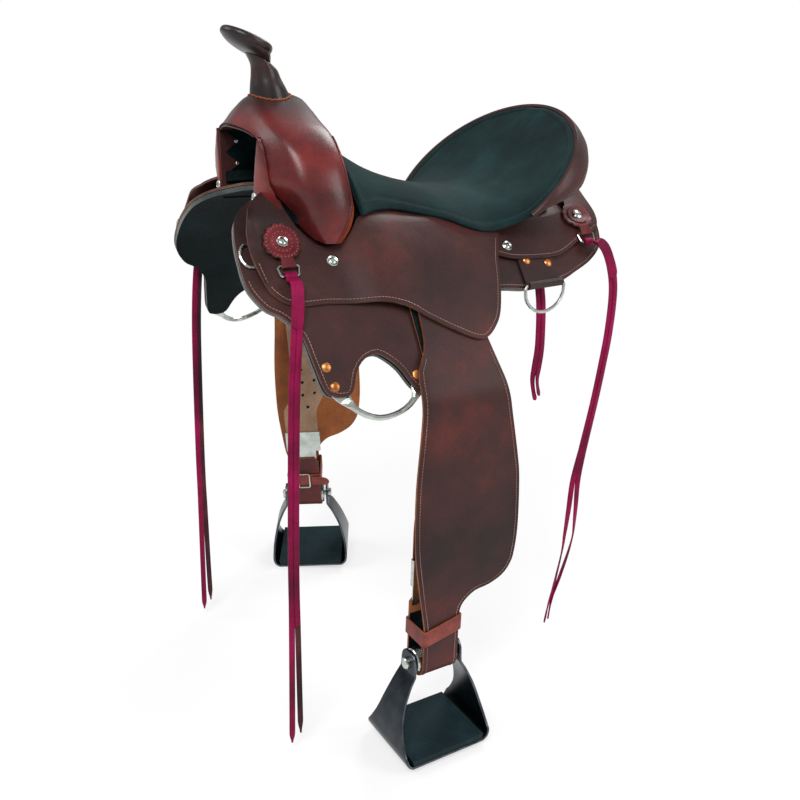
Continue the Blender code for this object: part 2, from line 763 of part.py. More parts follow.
JOCKEY_OUTLINE = (
    (-206, 62, 0), (-240, 76), (-266, 97), (-278, 132), (-278, 163), (-274, 185), (-266, 206),
    (-248, 226), (-224, 234), (-188, 236), (-150, 242), (-113, 248), (-82, 261), (-56, 280),
    (-18, 303), (8, 316), (26, 317), (45, 303), (60, 282), (75, 240), (83, 208), (91, 188),
    (101, 166, 0), (92, 160), (56, 154), (18, 134), (-20, 110), (-54, 100), (-86, 107), (-110, 119),
    (-121, 128), (-130, 140), (-144, 152), (-166, 157), (-188, 151), (-203, 132), (-216, 110),
    (-220, 84),
)


def lining_top(x, s):
    """The lining drops round the flat rigging plate that lies between it and the skirt."""
    near_x = smoothstep((x + 240.0) / 22.0) * smoothstep((-45.0 - x) / 22.0)
    return -SKIRT_T - LAYER_GAP - (PLATE_T + LAYER_GAP) * near_x * table(((250, 0), (272, 1)), s)


def make_plate(name, side):
    centre = curve_through(PLATE_PATH, 2, closed=True)
    rings = []
    count = len(centre)
    middle = -SKIRT_T - LAYER_GAP - 0.5 * PLATE_T
    for i, (x, s, half) in enumerate(centre):
        before = Vector(centre[i - 1][:2])
        after = Vector(centre[(i + 1) % count][:2])
        across = Vector((-(after - before).y, (after - before).x)).normalized()
        round_share = smoothstep((9.0 - half) / 4.0)
        thick = 0.5 * PLATE_T + (RING_R - 0.5 * PLATE_T) * round_share
        half = max(half, RING_R)
        ring = []
        for k in range(8):
            a = 2 * math.pi * (k + 0.5) / 8
            wide = math.copysign(abs(math.cos(a)) ** (1.0 - 0.6 * (1.0 - round_share)), math.cos(a))
            tall = math.copysign(abs(math.sin(a)) ** (1.0 - 0.9 * (1.0 - round_share)), math.sin(a))
            ring.append(on_side(x + across.x * half * wide, s + across.y * half * wide,
                                middle + thick * tall, side))
        rings.append(ring)
    loft(name, rings, "steel_bright", closed=True)


# Rear dee and its strap
DEE_BAR_S = 248.0
DEE_MIDDLE_X = 158.0


def strap_profile(bar_s, top_s, wire, bottom):
    """Side view (s, d) of a strap lying on the skirt, its end rolled back over a bar."""
    inner = wire + AIR
    outer = inner + STRAP_T
    centre_d = bottom + outer
    turns = [math.radians(a) for a in range(-90, 136, 45)]
    points = [(top_s, bottom + STRAP_T), (top_s, bottom)]
    points += [(bar_s + outer * math.cos(a), centre_d + outer * math.sin(a)) for a in turns]
    points += [(bar_s + inner * math.cos(a), centre_d + inner * math.sin(a)) for a in reversed(turns)]
    return points, centre_d


def make_dee_strap(name, side):
    points, _ = strap_profile(DEE_BAR_S, 198.0, REAR_DEE_WIRE, LAYER_GAP)
    rings = []
    for share in (-1.0, -0.33, 0.33, 1.0):
        ring = []
        for s, d in points:
            half = 31.0 + 1.5 * (DEE_BAR_S - s) / 60.0
            ring.append(on_side(DEE_MIDDLE_X + share * half, s, d, side))
        rings.append(ring)
    loft(name, rings, "leather_brown")


def dee_loop(half, drop):
    """Outline of a dee in its own plane: bar along x at 0, bow hanging to drop."""
    points = [(place, 0.0) for place in (half - 3.0, 0.3 * half, -0.3 * half, 3.0 - half)]
    points.append((-half, 0.12 * drop))
    for k in range(1, 12):
        a = math.pi * k / 12
        points.append((-half * math.cos(a), 0.22 * drop + 0.78 * drop * math.sin(a)))
    points.append((half, 0.12 * drop))
    return points


def make_rear_dee(name, side):
    _, centre_d = strap_profile(DEE_BAR_S, 198.0, REAR_DEE_WIRE, LAYER_GAP)
    centre = on_side(DEE_MIDDLE_X, DEE_BAR_S, centre_d, side)
    end = on_side(DEE_MIDDLE_X + 10.0, DEE_BAR_S, centre_d, side)
    pivot = pivot_empty(name + "_axis", centre)
    along = (end - centre).normalized()
    down = Vector((0.0, side * 0.06, -1.0)).normalized()
    points = [centre + along * x + down * drop
              for x, drop in dee_loop(REAR_DEE_HALF, REAR_DEE_DROP)]
    add_tube(name, points, REAR_DEE_WIRE, "steel_bright", pivot, closed=True)


def make_breast_dee(name, side):
    bar_x = -273.0
    middle_s = 158.0
    half = 17.0
    level = LAYER_GAP + BREAST_DEE_WIRE
    centre = on_side(bar_x, middle_s, level, side)
    pivot = pivot_empty(name + "_axis", centre)
    flat = [(0.0, half * share) for share in (-0.8, -0.3, 0.3, 0.8)]
    flat.append((-2.0, half))
    for k in range(1, 8):
        a = math.pi * k / 8
        flat.append((-3.0 - 14.0 * math.sin(a), half * math.cos(a)))
    flat.append((-2.0, -half))
    points = [on_side(bar_x + x, middle_s + s, level, side) for x, s in flat]
    add_tube(name, points, BREAST_DEE_WIRE, "steel_bright", pivot, closed=True)


# Rosettes, clip dees and strings
FRONT_ROSETTE = (-233.0, 148.0)
REAR_ROSETTE = (260.0, 148.0)
ROSETTE_R = 25.0
ROSETTE_SCALLOPS = 12


def rosette_outline(x, s, tongue):
    points = []
    steps = ROSETTE_SCALLOPS * 3
    for k in range(steps):
        a = 2 * math.pi * k / steps
        radius = ROSETTE_R * (1.0 if k % 3 else 0.93)
        if abs(a - 0.5 * math.pi) < 0.3:
            radius = tongue / math.sin(a)
        points.append((x + radius * math.cos(a), s + radius * math.sin(a)))
    return points


def make_rosette(name, middle, surface, side):
    x0, s0 = middle

    def bottom(x, s):
        lift = (2.0 * CLIP_DEE_WIRE + CLIP_GAP) * smoothstep((s - s0 - 2.0) / 18.0)
        return surface(x, s) + LAYER_GAP + lift

    leather(name, rosette_outline(x0, s0, 36.0), bottom, ROSETTE_T, "leather_strap",
            side, smooth=False)


def make_clip_dee(name, middle, surface, side):
    x0, s0 = middle
    bar_s = s0 + 31.0
    level = surface(x0, bar_s) + CLIP_GAP + CLIP_DEE_WIRE
    centre = on_side(x0, bar_s, level, side)
    pivot = pivot_empty(name + "_axis", centre)
    flat = [(-11, 0), (0, 0), (11, 0), (14.5, 3), (12.5, 13), (10, 15), (0, 15), (-10, 15), (-12.5, 13),
            (-14.5, 3)]
    points = [on_side(x0 + x, bar_s + s, surface(x0 + x, bar_s + s) + CLIP_GAP + CLIP_DEE_WIRE, side)
              for x, s in flat]
    add_tube(name, points, CLIP_DEE_WIRE, "steel_bright", pivot, closed=True)
    return pivot


# Routes of the hanging strings on the near side, in millimetres
FRONT_STRING_ROUTE = (
    (-232, -177, -65), (-235, -186, -82), (-240, -195, -120), (-245, -198, -200), (-247, -199, -300),
    (-248, -200, -452), (-247, -201, -560), (-246, -202, -680), (-245, -202, -766),
)
REAR_STRING_ROUTE = (
    (264, -184, -38), (278, -188, -48), (294, -190, -78), (305, -190, -120), (306, -190, -183),
    (301, -190, -240), (293, -190, -305), (281, -190, -380), (272, -190, -441), (272, -190, -500),
    (270, -190, -560), (258, -190, -620), (246, -190, -668), (241, -190, -712),
)
INNER_STRING_ROUTE = (
    (170, -168, -88), (171, -172, -105), (173, -176, -130), (175, -178, -165), (175, -180, -200),
    (172, -181, -230), (170, -182, -250), (173, -183, -268), (178, -184, -284),
)
STRING_STEP = 21.0


def make_string(name, route, side, pivot):
    points = [Vector((x, -side * y, z)) for x, y, z in route]
    length = sum((b - a).length for a, b in zip(points, points[1:]))
    spans = max(2, round(length / (STRING_STEP * (len(points) - 1))))
    smooth = [Vector(p) for p in curve_through([tuple(p) for p in points], spans)]
    add_tube(name, smooth, STRING_R, "leather_string", pivot)


# Leg assembly: fender, stirrup leather, buckle, hobble strap and stirrup

def fender_bottom():
    return LEG_SPACE + STIRRUP_LEATHER_T + LAYER_GAP


def loop_radius():
    """Bending radius of the tongue at the pattern's zero height, round the roller."""
    return ROLLER_R + ROLLER_GAP - fender_bottom()


def bolt_s():
    """Pattern length at the height of the bolt."""
    return BEND_S + BOLT_BELOW_BEND


def fender_slopes(hang):
    turn = math.pi * loop_radius()
    return (*SLOPES[:-1], (FREE_S, table(SLOPES, FREE_S)), (BEND_S, hang), (bolt_s(), hang),
            (bolt_s() + turn, hang + 180.0), (2000, hang + 180.0))


def strap_slopes(hang, lean):
    """The stirrup leather leans inward by lean below the bend and ends parallel to the tongue."""
    return (*SLOPES[:-1], (FREE_S, table(SLOPES, FREE_S)), (BEND_S, hang + 0.3 * lean),
            (BEND_S + 35.0, hang + lean), (BEND_S + 165.0, hang + lean), (STRAIGHT_S, hang), (2000, hang))


def leg_pivot():
    return on_profile(LEG_PIVOT_X, LEG_PIVOT_S, fender_bottom(), SLOPES)


def leg_axis():
    """Outward axis that the near leg swings about, square to the leather under the jockey."""
    angle = math.radians(LEG_AXIS_ANGLE)
    return Vector((0.0, -math.sin(angle), math.cos(angle)))


def complete_leg(leg):
    """Adds what follows from a leg's angles: its own axes, swing and the lean of its leather."""
    hang = math.radians(leg["hang"])
    leg["out"] = Vector((0.0, -math.sin(hang), math.cos(hang)))
    leg["up"] = Vector((0.0, math.cos(hang), math.sin(hang)))
    leg["centre"] = on_profile(TONGUE_X, bolt_s(), -loop_radius(), fender_slopes(leg["hang"]))
    leg["turn"] = Matrix.Rotation(math.radians(leg["swing"]), 3, leg_axis())
    wanted = -(ROLLER_R + ROLLER_GAP + STIRRUP_LEATHER_T)
    low = 0.0
    high = 25.0
    for _ in range(18):
        lean = 0.5 * (low + high)
        end = on_profile(LEG_PIVOT_X, STRAIGHT_S, LEG_SPACE, strap_slopes(leg["hang"], lean)) - leg["centre"]
        if end.dot(leg["out"]) > wanted:
            low = lean
        else:
            high = lean
    leg["lean"] = lean
    leg["strap_end"] = STRAIGHT_S + end.dot(leg["up"]) - STRAP_END_W
    return leg


def place_on_leg(leg, point, twisted):
    """Twists a near-side point about the leg's own upright line, swings it and picks its side."""
    centre = leg["centre"]
    around = Matrix.Rotation(math.radians(leg["twist"]) * twisted, 3, "Z")
    flat = Vector((centre.x, centre.y, point.z))
    point = flat + around @ (point - flat)
    pivot = leg_pivot()
    point = pivot + leg["turn"] @ (point - pivot)
    return Vector((point.x, -leg["side"] * point.y, point.z))


def stirrup_point(leg, u, v, w):
    point = leg["centre"] + Vector((u, 0.0, 0.0)) + leg["out"] * v + leg["up"] * w
    return place_on_leg(leg, point, 1.0)


def fender_place(leg):
    slopes = fender_slopes(leg["hang"])

    def place(x, s, d):
        point = on_profile(x, s, d, slopes)
        twisted = smoothstep((TWIST_TOP_Z - point.z) / (TWIST_TOP_Z - TWIST_END_Z))
        return place_on_leg(leg, point, 1.0 if s > bolt_s() else twisted)

    return place


def strap_place(leg):
    slopes = strap_slopes(leg["hang"], leg["lean"])
    top, end = STRAP_TWIST_Z

    def place(x, s, d):
        point = on_profile(x, s, d, slopes)
        return place_on_leg(leg, point, smoothstep((top - point.z) / (top - end)))

    return place


FENDER_FRONT = (
    (-55, 190, 0), (-66, 250), (-72, 311), (-84, 337), (-93, 360), (-97, 441), (-101, 520),
    (-99, 607), (-91, 671), (-84, 715), (-81, 735),
)
FENDER_REAR = (
    (-20, 734), (-19, 722), (-12, 710), (6, 698), (30, 694), (54, 684), (68, 668), (74, 648), (77, 603),
    (73, 528), (66, 486), (50, 414), (38, 357), (30, 314), (22, 262), (14, 190, 0),
)
TONGUE_START_S = 745.0
FREE_LINES = (372, 382, 391, 400, 410)


def make_fender(name, leg, pivot):
    left = TONGUE_X - 0.5 * TONGUE_WIDTH
    right = TONGUE_X + 0.5 * TONGUE_WIDTH
    turn = math.pi * loop_radius()
    after_turn = bolt_s() + turn
    end = after_turn + TONGUE_END_W
    outline = pattern_outline(FENDER_FRONT + ((left, TONGUE_START_S, 0), (left, end, 0), (right, end, 0),
                                              (right, TONGUE_START_S, 0)) + FENDER_REAR)
    lines = [s for s in GRID_S if s < FREE_S] + list(FREE_LINES)
    lines += [480, 560, 640, 684, 699, 709, 719, 729, 739]
    lines += [bolt_s() + turn * k / 10 for k in range(11)] + [after_turn + 50.0]
    place = fender_place(leg)
    bottom = fender_bottom()
    sheet(name, cut_pattern(outline, (TWIST_START_X, 0, 40), lines), lambda x, s: place(x, s, bottom),
          lambda x, s: place(x, s, bottom + FENDER_T), "leather_brown", pivot)


def make_stirrup_leather(name, leg, pivot):
    radius = 0.5 * LEATHER_WIDTH
    end = leg["strap_end"]
    outline = [Vector((LEG_PIVOT_X - radius, end)), Vector((LEG_PIVOT_X + radius, end))]
    for k in range(9):
        a = math.pi * k / 8
        outline.append(Vector((LEG_PIVOT_X + radius * math.cos(a), LEG_PIVOT_S - radius * math.sin(a))))
    lines = [s for s in GRID_S if s < FREE_S] + list(FREE_LINES)
    lines += [BEND_S + step for step in (12, 24, 35, 100, 165, 173, 181, 188, 195, 203)]
    place = strap_place(leg)
    sheet(name, cut_pattern(outline, (LEG_PIVOT_X,), lines), lambda x, s: place(x, s, LEG_SPACE),
          lambda x, s: place(x, s, LEG_SPACE + STIRRUP_LEATHER_T), "leather_strap", pivot)


def rounded_box(half_u, half_v, corner, steps=4):
    """Outline (u, v) of a rectangle with round corners."""
    points = []
    for quarter, (sign_u, sign_v) in enumerate(((1, 1), (-1, 1), (-1, -1), (1, -1))):
        for k in range(steps + 1):
            a = math.radians(90.0 * (quarter + k / steps))
            points.append((sign_u * (half_u - corner) + corner * math.cos(a),
                           sign_v * (half_v - corner) + corner * math.sin(a)))
    return points


def band_ring(name, leg, inner, grow, rise, shift, mat, pivot):
    """Closed band between two heights round the loop of the leg. inner is (half_u, half_v, corner)."""
    half_u, half_v, corner = inner
    inside = rounded_box(half_u, half_v, corner)
    outside = rounded_box(half_u + grow, half_v + grow, corner + grow)
    rings = []
    for (u0, v0), (u1, v1) in zip(inside, outside):
        corners = ((u0, v0, rise[0]), (u0, v0, rise[1]), (u1, v1, rise[1]), (u1, v1, rise[0]))
        rings.append([stirrup_point(leg, u + shift[0], v + shift[1], w) for u, v, w in corners])
    loft(name, rings, mat, pivot, closed=True)


def plate_levels():
    """v of the buckle plate's face towards the strap and of its other face."""
    face = -(ROLLER_R + ROLLER_GAP) + AIR
    return face, face + BUCKLE_PLATE_T


def make_buckle(word, leg, pivot, sleeve_pivot):
    middle_u = LEG_PIVOT_X - TONGUE_X
    face, back = plate_levels()
    half = BUCKLE_PLATE_HALF
    grids = []
    for v in (face, back):
        grids.append([[stirrup_point(leg, u, v, w) for u in (-half, half)] for w in BUCKLE_PLATE_W])
    slab("buckle_plate_" + word, grids[0], grids[1], "steel_bright", pivot)
    strap_face = -(ROLLER_R + ROLLER_GAP + STIRRUP_LEATHER_T)
    low_v = strap_face - SLEEVE_CLEARANCE
    high_v = back + SLEEVE_CLEARANCE
    half_u = 0.5 * LEATHER_WIDTH + SLEEVE_CLEARANCE
    inner = (half_u, 0.5 * (high_v - low_v), 1.0)
    band_ring("buckle_sleeve_" + word, leg, inner, SLEEVE_T, SLEEVE_W, (middle_u, 0.5 * (high_v + low_v)),
              "steel_bright", sleeve_pivot)


def make_hobble(word, leg, pivot):
    half_v = ROLLER_R + ROLLER_GAP + FENDER_T + HOBBLE_CLEARANCE
    inner = (0.5 * TONGUE_WIDTH + HOBBLE_CLEARANCE, half_v, HOBBLE_CORNER)
    band_ring("hobble_strap_" + word, leg, inner, HOBBLE_T, HOBBLE_W, (0.0, 0.0), "leather_strap", pivot)
    v = -(half_v + HOBBLE_T + AIR + HOBBLE_BUCKLE_WIRE)
    middle_w = 0.5 * (HOBBLE_W[0] + HOBBLE_W[1])
    half_u, half_w = HOBBLE_BUCKLE_HALF
    points = [stirrup_point(leg, u, v, middle_w + w) for u, w in rounded_box(half_u, half_w, 3.0, 2)]
    add_tube("hobble_buckle_" + word, points, HOBBLE_BUCKLE_WIRE, "steel_bright", pivot, closed=True)


def make_stirrup(word, leg, pivot):
    path = list(STIRRUP_HALF_PATH) + [(-u, w, half) for u, w, half in reversed(STIRRUP_HALF_PATH)]
    outer = []
    inner = []
    for i, (u, w, half) in enumerate(path):
        before = Vector(path[max(0, i - 1)][:2])
        after = Vector(path[min(len(path) - 1, i + 1)][:2])
        along = (after - before).normalized()
        across = Vector((-along.y, along.x)) * 0.5 * STIRRUP_PLATE
        outer.append([stirrup_point(leg, u - across.x, v, w - across.y) for v in (-half, half)])
        inner.append([stirrup_point(leg, u + across.x, v, w + across.y) for v in (-half, half)])
    frame = slab("stirrup_frame_" + word, outer, inner, "stirrup_steel", pivot)
    reach = EAR_U + 3.0 * STIRRUP_PLATE
    rings = [turned_ring(leg, u, BOLT_R + BOLT_CLEARANCE) for u in (-reach, reach)]
    hole = loft("bolt_hole_" + word, rings, "stirrup_steel", pivot)
    hole.hide_render = True
    hole.display_type = "WIRE"
    drill = frame.modifiers.new("bolt_hole", "BOOLEAN")
    drill.object = hole
    drill.solver = "EXACT"
    floor = STIRRUP_HALF_PATH[-1][1] + 0.5 * STIRRUP_PLATE + AIR
    top = floor + TREAD_T
    end = TREAD_HALF_LENGTH
    section = ((3.0 - end, floor), (end - 3.0, floor), (end, floor + 4.0), (end, top), (-end, top),
               (-end, floor + 4.0))
    rings = [[stirrup_point(leg, u, v, w) for u, w in section]
             for v in (-TREAD_HALF_WIDTH, TREAD_HALF_WIDTH)]
    loft("stirrup_tread_" + word, rings, "tread_rubber", pivot)


def turned_ring(leg, u, radius):
    turns = [2 * math.pi * k / 16 for k in range(16)]
    return [stirrup_point(leg, u, radius * math.cos(a), radius * math.sin(a)) for a in turns]


def make_bolt(name, leg, pivot):
    face = EAR_U + 0.5 * STIRRUP_PLATE + AIR
    half = 0.5 * ROLLER_LENGTH
    chamfer = 1.5
    profile = (
        (-face - BOLT_HEAD_T, BOLT_HEAD_R - chamfer), (-face - BOLT_HEAD_T + chamfer, BOLT_HEAD_R),
        (-face, BOLT_HEAD_R), (-face, BOLT_R), (-half, BOLT_R), (-half, ROLLER_R - chamfer),
        (-half + chamfer, ROLLER_R), (half - chamfer, ROLLER_R), (half, ROLLER_R - chamfer), (half, BOLT_R),
        (face, BOLT_R), (face, BOLT_HEAD_R), (face + BOLT_HEAD_T, BOLT_HEAD_R),
    )
    loft(name, [turned_ring(leg, u, radius) for u, radius in profile], "steel_bright", pivot)


def make_leg(word, leg):
    complete_leg(leg)
    pivot = pivot_empty("leg_axis_" + word, place_on_leg(leg, leg_pivot(), 0.0))
    make_fender("fender_" + word, leg, pivot)
    make_stirrup_leather("stirrup_leather_" + word, leg, pivot)
    middle = stirrup_point(leg, 0.0, plate_levels()[0], 0.5 * (SLEEVE_W[0] + SLEEVE_W[1]))
    sleeve_pivot = pivot_empty("sleeve_axis_" + word, middle)
    make_buckle(word, leg, pivot, sleeve_pivot)
    make_hobble(word, leg, pivot)
    bolt_pivot = pivot_empty("bolt_axis_" + word, stirrup_point(leg, 0.0, 0.0, 0.0))
    make_stirrup(word, leg, bolt_pivot)
    make_bolt("stirrup_bolt_" + word, leg, bolt_pivot)


def make_side(word, side):
    make_bar("tree_bar_" + word, side)
    leather("skirt_" + word, SKIRT_OUTLINE, lambda x, s: -SKIRT_T, SKIRT_T, "leather_brown", side)
    leather("lining_" + word, SKIRT_OUTLINE, lambda x, s: lining_top(x, s) - LINING_T, LINING_T,
            "leather_black", side)
    make_plate("rigging_plate_" + word, side)
    leather("rear_jockey_" + word, REAR_JOCKEY_OUTLINE, rear_jockey_bottom, REAR_JOCKEY_T,
            "leather_brown", side)
    leather("seat_jockey_" + word, JOCKEY_OUTLINE, jockey_bottom, JOCKEY_T, "leather_brown", side)
    make_dee_strap("rear_dee_strap_" + word, side)
    make_rear_dee("rear_dee_" + word, side)
    make_breast_dee("breast_dee_" + word, side)
    for end, middle, surface, route in (
            ("front", FRONT_ROSETTE, jockey_top, FRONT_STRING_ROUTE),
            ("rear", REAR_ROSETTE, rear_jockey_top, REAR_STRING_ROUTE)):
        make_rosette(end + "_rosette_" + word, middle, surface, side)
        pivot = make_clip_dee(end + "_clip_dee_" + word, middle, surface, side)
        make_string(end + "_string_" + word, route, side, pivot)


def main():
    for old in list(bpy.data.objects):
        bpy.data.objects.remove(old, do_unlink=True)
    cover = make_fork()
    make_horn(cover)
    cushion_bottom, normals, sign = make_seat()
    make_under_seat(cushion_bottom, normals, sign)
    make_band()
    for word, side in SIDES.items():
        make_side(word, side)
    make_leg("near", NEAR_LEG)
    make_leg("off", OFF_LEG)
    make_string("inner_rear_string", INNER_STRING_ROUTE, NEAR, None)


main()
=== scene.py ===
# Looks of the western trail saddle. Lengths here are millimetres and become metres in each mesh.
# +X runs from horn to cantle, -Y is the near side, +Z is up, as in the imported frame.
# Leather is cut as flat patterns: x along the saddle, s down the side, d outward from the skirt.
import json
import math

import bmesh
import bpy
from mathutils import Matrix, Vector, noise
from mathutils.bvhtree import BVHTree


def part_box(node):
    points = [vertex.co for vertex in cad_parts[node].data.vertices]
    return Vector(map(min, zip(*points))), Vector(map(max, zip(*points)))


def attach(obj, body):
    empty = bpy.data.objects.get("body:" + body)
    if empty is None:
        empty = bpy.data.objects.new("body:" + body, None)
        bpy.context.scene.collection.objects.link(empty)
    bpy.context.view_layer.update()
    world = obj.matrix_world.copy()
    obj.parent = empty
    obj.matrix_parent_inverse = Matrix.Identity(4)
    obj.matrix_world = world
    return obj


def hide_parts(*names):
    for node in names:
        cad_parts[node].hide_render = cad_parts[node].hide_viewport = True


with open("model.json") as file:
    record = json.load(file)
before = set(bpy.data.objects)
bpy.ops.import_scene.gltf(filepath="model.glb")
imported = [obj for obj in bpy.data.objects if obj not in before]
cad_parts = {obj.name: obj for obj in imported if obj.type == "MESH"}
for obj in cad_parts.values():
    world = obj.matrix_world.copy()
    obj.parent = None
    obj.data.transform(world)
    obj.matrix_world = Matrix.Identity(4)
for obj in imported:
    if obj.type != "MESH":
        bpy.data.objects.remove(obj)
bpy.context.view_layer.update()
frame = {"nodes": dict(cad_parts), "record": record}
nodes = frame["nodes"]
mm = 0.001
sides = {"near": -1, "off": 1}

camera = {
    "place": (-696.7, -1211.4, 202.9), "yaw": 0.54235, "pitch": 0.35648, "roll": 0.0402,
    "focal": 899.1, "image": 800.0, "middle": (398.75, 399.55), "sensor": 36.0,
}
surface = {
    "ridge": 45.0, "frontRise": 3.0, "rearRise": 10.0, "frontTwist": 7.0, "twistStart": -85.0,
    "twistLength": 225.0, "slopes": ((0, 4), (90, 36), (150, 42), (210, 53), (400, 59)),
    "dip": 42.0, "dipAlong": ((-180, 0), (-120, 0.2), (-85, 0.5), (0, 1), (180, 1), (240, 0.5), (300, 0)),
    "dipAcross": ((44, 1), (66, 0.9), (88, 0.6), (110, 0.25), (132, 0)), "freeS": 372.0,
}
layers = {
    "skirt": 4.5, "lining": 7.0, "jockey": 4.0, "rearJockey": 3.5, "fender": 3.8, "stirrupLeather": 2.4,
    "cover": 3.5, "rosette": 3.5, "strap": 3.4, "liner": 2.5, "gap": 0.6, "air": 0.3, "legSpace": 2.0,
    "shoulder": ((88, 1), (110, 0.8), (132, 0.35), (160, 0)), "bar": 7.1, "barExtra": 7.0, "barGap": 4.0,
    "barTaper": ((88, 1), (110, 0.62), (132, 0.2)),
}


# Curves and surfaces

def smoothstep(value):
    value = min(1.0, max(0.0, value))
    return value * value * (3.0 - 2.0 * value)


def table(points, value):
    if value <= points[0][0]:
        return points[0][1]
    for (a, low), (b, high) in zip(points, points[1:]):
        if value <= b:
            return low + (high - low) * (value - a) / (b - a)
    return points[-1][1]


def easedTable(points, value):
    if value <= points[0][0]:
        return points[0][1]
    for (a, low), (b, high) in zip(points, points[1:]):
        if value <= b:
            t = (value - a) / (b - a)
            return low + (high - low) * (0.5 * t + 0.5 * smoothstep(t))
    return points[-1][1]


def seatDip(x, s):
    return surface["dip"] * easedTable(surface["dipAlong"], x) * easedTable(surface["dipAcross"], s)


def onProfile(x, s, d, slopes):
    twist = surface["frontTwist"] * min(1.3, max(0.0, (surface["twistStart"] - x) / surface["twistLength"]))
    free = surface["freeS"]

    def angle(place):
        turned = 0.0 if place > free else twist * min(1.0, place / 90.0)
        return math.radians(table(slopes, place) + turned)

    # the slope changes evenly between two stops, so each stretch is an arc
    stops = sorted({0.0, 90.0, free, free + 0.01, *(float(p[0]) for p in slopes)})
    stops = [p for p in stops if p < s] + [s]
    across = 0.0
    down = 0.0
    for start, end in zip(stops, stops[1:]):
        a = angle(start)
        b = angle(end)
        length = end - start
        if abs(b - a) < 1e-6:
            across += math.cos(a) * length
            down += math.sin(a) * length
        else:
            across += (math.sin(b) - math.sin(a)) / (b - a) * length
            down += (math.cos(a) - math.cos(b)) / (b - a) * length
    ridge = surface["ridge"] + surface["frontRise"] * max(0.0, (-60.0 - x) / 250.0) ** 2
    ridge += surface["rearRise"] * max(0.0, (x - 60.0) / 240.0) ** 2
    last = angle(s)
    return Vector((x, -across - d * math.sin(last), ridge - seatDip(x, s) - down + d * math.cos(last)))


def onSide(x, s, d, side):
    point = onProfile(x, s, d, surface["slopes"])
    point.y *= -side
    return point


def barThickness(x):
    return layers["bar"] + layers["barExtra"] * smoothstep((-60.0 - x) / 80.0)


def barTop(x, s):
    return layers["barGap"] + barThickness(x) * table(layers["barTaper"], s)


def jockeyBottom(x, s):
    stack = layers["legSpace"] + layers["stirrupLeather"] + layers["air"] + layers["fender"]
    stack += 2.2 * layers["gap"]
    low = layers["gap"] + layers["air"] + stack * smoothstep((x + 168.0) / 58.0)
    high = max(low, layers["barGap"] + barThickness(x) + layers["gap"] + layers["air"])
    deeRise = 6.2 * smoothstep((-262.0 - x) / 12.0)
    return low + (high - low) * easedTable(layers["shoulder"], s) + deeRise


def jockeyTop(x, s):
    return jockeyBottom(x, s) + layers["jockey"]


def skirtTop(x, s):
    return 0.0


def strapTop(x, s):
    return layers["gap"] + layers["strap"]


def rearJockeyBottom(x, s):
    return layers["strap"] + 2.0 * layers["gap"]


def rearJockeyTop(x, s):
    return rearJockeyBottom(x, s) + layers["rearJockey"]


def curveThrough(points, perSpan):
    count = len(points)
    result = []
    for i in range(count - 1):
        p0, p1, p2, p3 = (points[min(count - 1, max(0, i + k))] for k in (-1, 0, 1, 2))
        for step in range(perSpan):
            t = step / perSpan
            result.append(tuple(
                0.5 * (2 * b + (c - a) * t + (2 * a - 5 * b + 4 * c - d) * t * t
                       + (3 * b - a - 3 * c + d) * t ** 3)
                for a, b, c, d in zip(p0, p1, p2, p3)))
    result.append(tuple(points[-1]))
    return result


def smoothPath(points, perSpan):
    return [Vector(p) for p in curveThrough(points, perSpan)]


def turns(count, shift=0.0):
    return [2 * math.pi * (k + shift) / count for k in range(count)]


def mirrored(points):
    return [Vector((p.x, -p.y, p.z)) for p in points]


def patternOutline(points, spacing):
    count = len(points)
    result = []
    for i in range(count):
        a = Vector(points[i][:2])
        b = Vector(points[(i + 1) % count][:2])
        before = Vector(points[i - 1][:2])
        after = Vector(points[(i + 2) % count][:2])
        tangentA = (b - a) if len(points[i]) > 2 else (b - before) * 0.5
        tangentB = (b - a) if len(points[(i + 1) % count]) > 2 else (after - a) * 0.5
        steps = max(1, round((b - a).length / spacing))
        for step in range(steps):
            t = step / steps
            result.append(a * (2 * t ** 3 - 3 * t ** 2 + 1) + b * (3 * t ** 2 - 2 * t ** 3)
                          + tangentA * (t ** 3 - 2 * t ** 2 + t) + tangentB * (t ** 3 - t ** 2))
    return result


# Materials

def wire(tree, node, values=None, links=None):
    for socket, value in (values or {}).items():
        node.inputs[socket].default_value = value
    for socket, (source, output) in (links or {}).items():
        tree.links.new(source.outputs[output], node.inputs[socket])
    return node


def addNode(tree, kind, values=None, links=None, **settings):
    node = tree.nodes.new("ShaderNode" + kind)
    for key, value in settings.items():
        setattr(node, key, value)
    return wire(tree, node, values, links)


def ramp(tree, source, stops):
    node = addNode(tree, "ValToRGB", links={"Fac": (source, "Fac")})
    elements = node.color_ramp.elements
    while len(elements) < len(stops):
        elements.new(0.5)
    for element, (place, colour) in zip(elements, stops):
        element.position = place
        element.color = (*colour, 1.0)
    return node


def noiseNode(tree, coordinates, scale, detail, roughness):
    return addNode(tree, "TexNoise", {"Scale": scale, "Detail": detail, "Roughness": roughness},
                   {"Vector": (coordinates, "Object")})


def newMaterial(name):
    made = bpy.data.materials.new(name)
    made.use_nodes = True
    tree = made.node_tree
    coordinates = tree.nodes.new("ShaderNodeTexCoord")
    return made, tree, tree.nodes["Principled BSDF"], coordinates


def paintedTopShade(tree, coordinates, tones, low, high):
    # painted shade: the colour darkens towards the top of the fork, round the horn's base under its cap
    split = addNode(tree, "SeparateXYZ", links={0: (coordinates, "Object")})
    height = addNode(tree, "MapRange", {"From Min": low, "From Max": high, "To Max": 0.93},
                     {"Value": (split, "Z")}, interpolation_type="SMOOTHSTEP")
    return addNode(tree, "Mix", {7: (0.02, 0.011, 0.011, 1.0)}, {"Factor": (height, "Result"), 6: (tones, 2)},
                   data_type="RGBA")


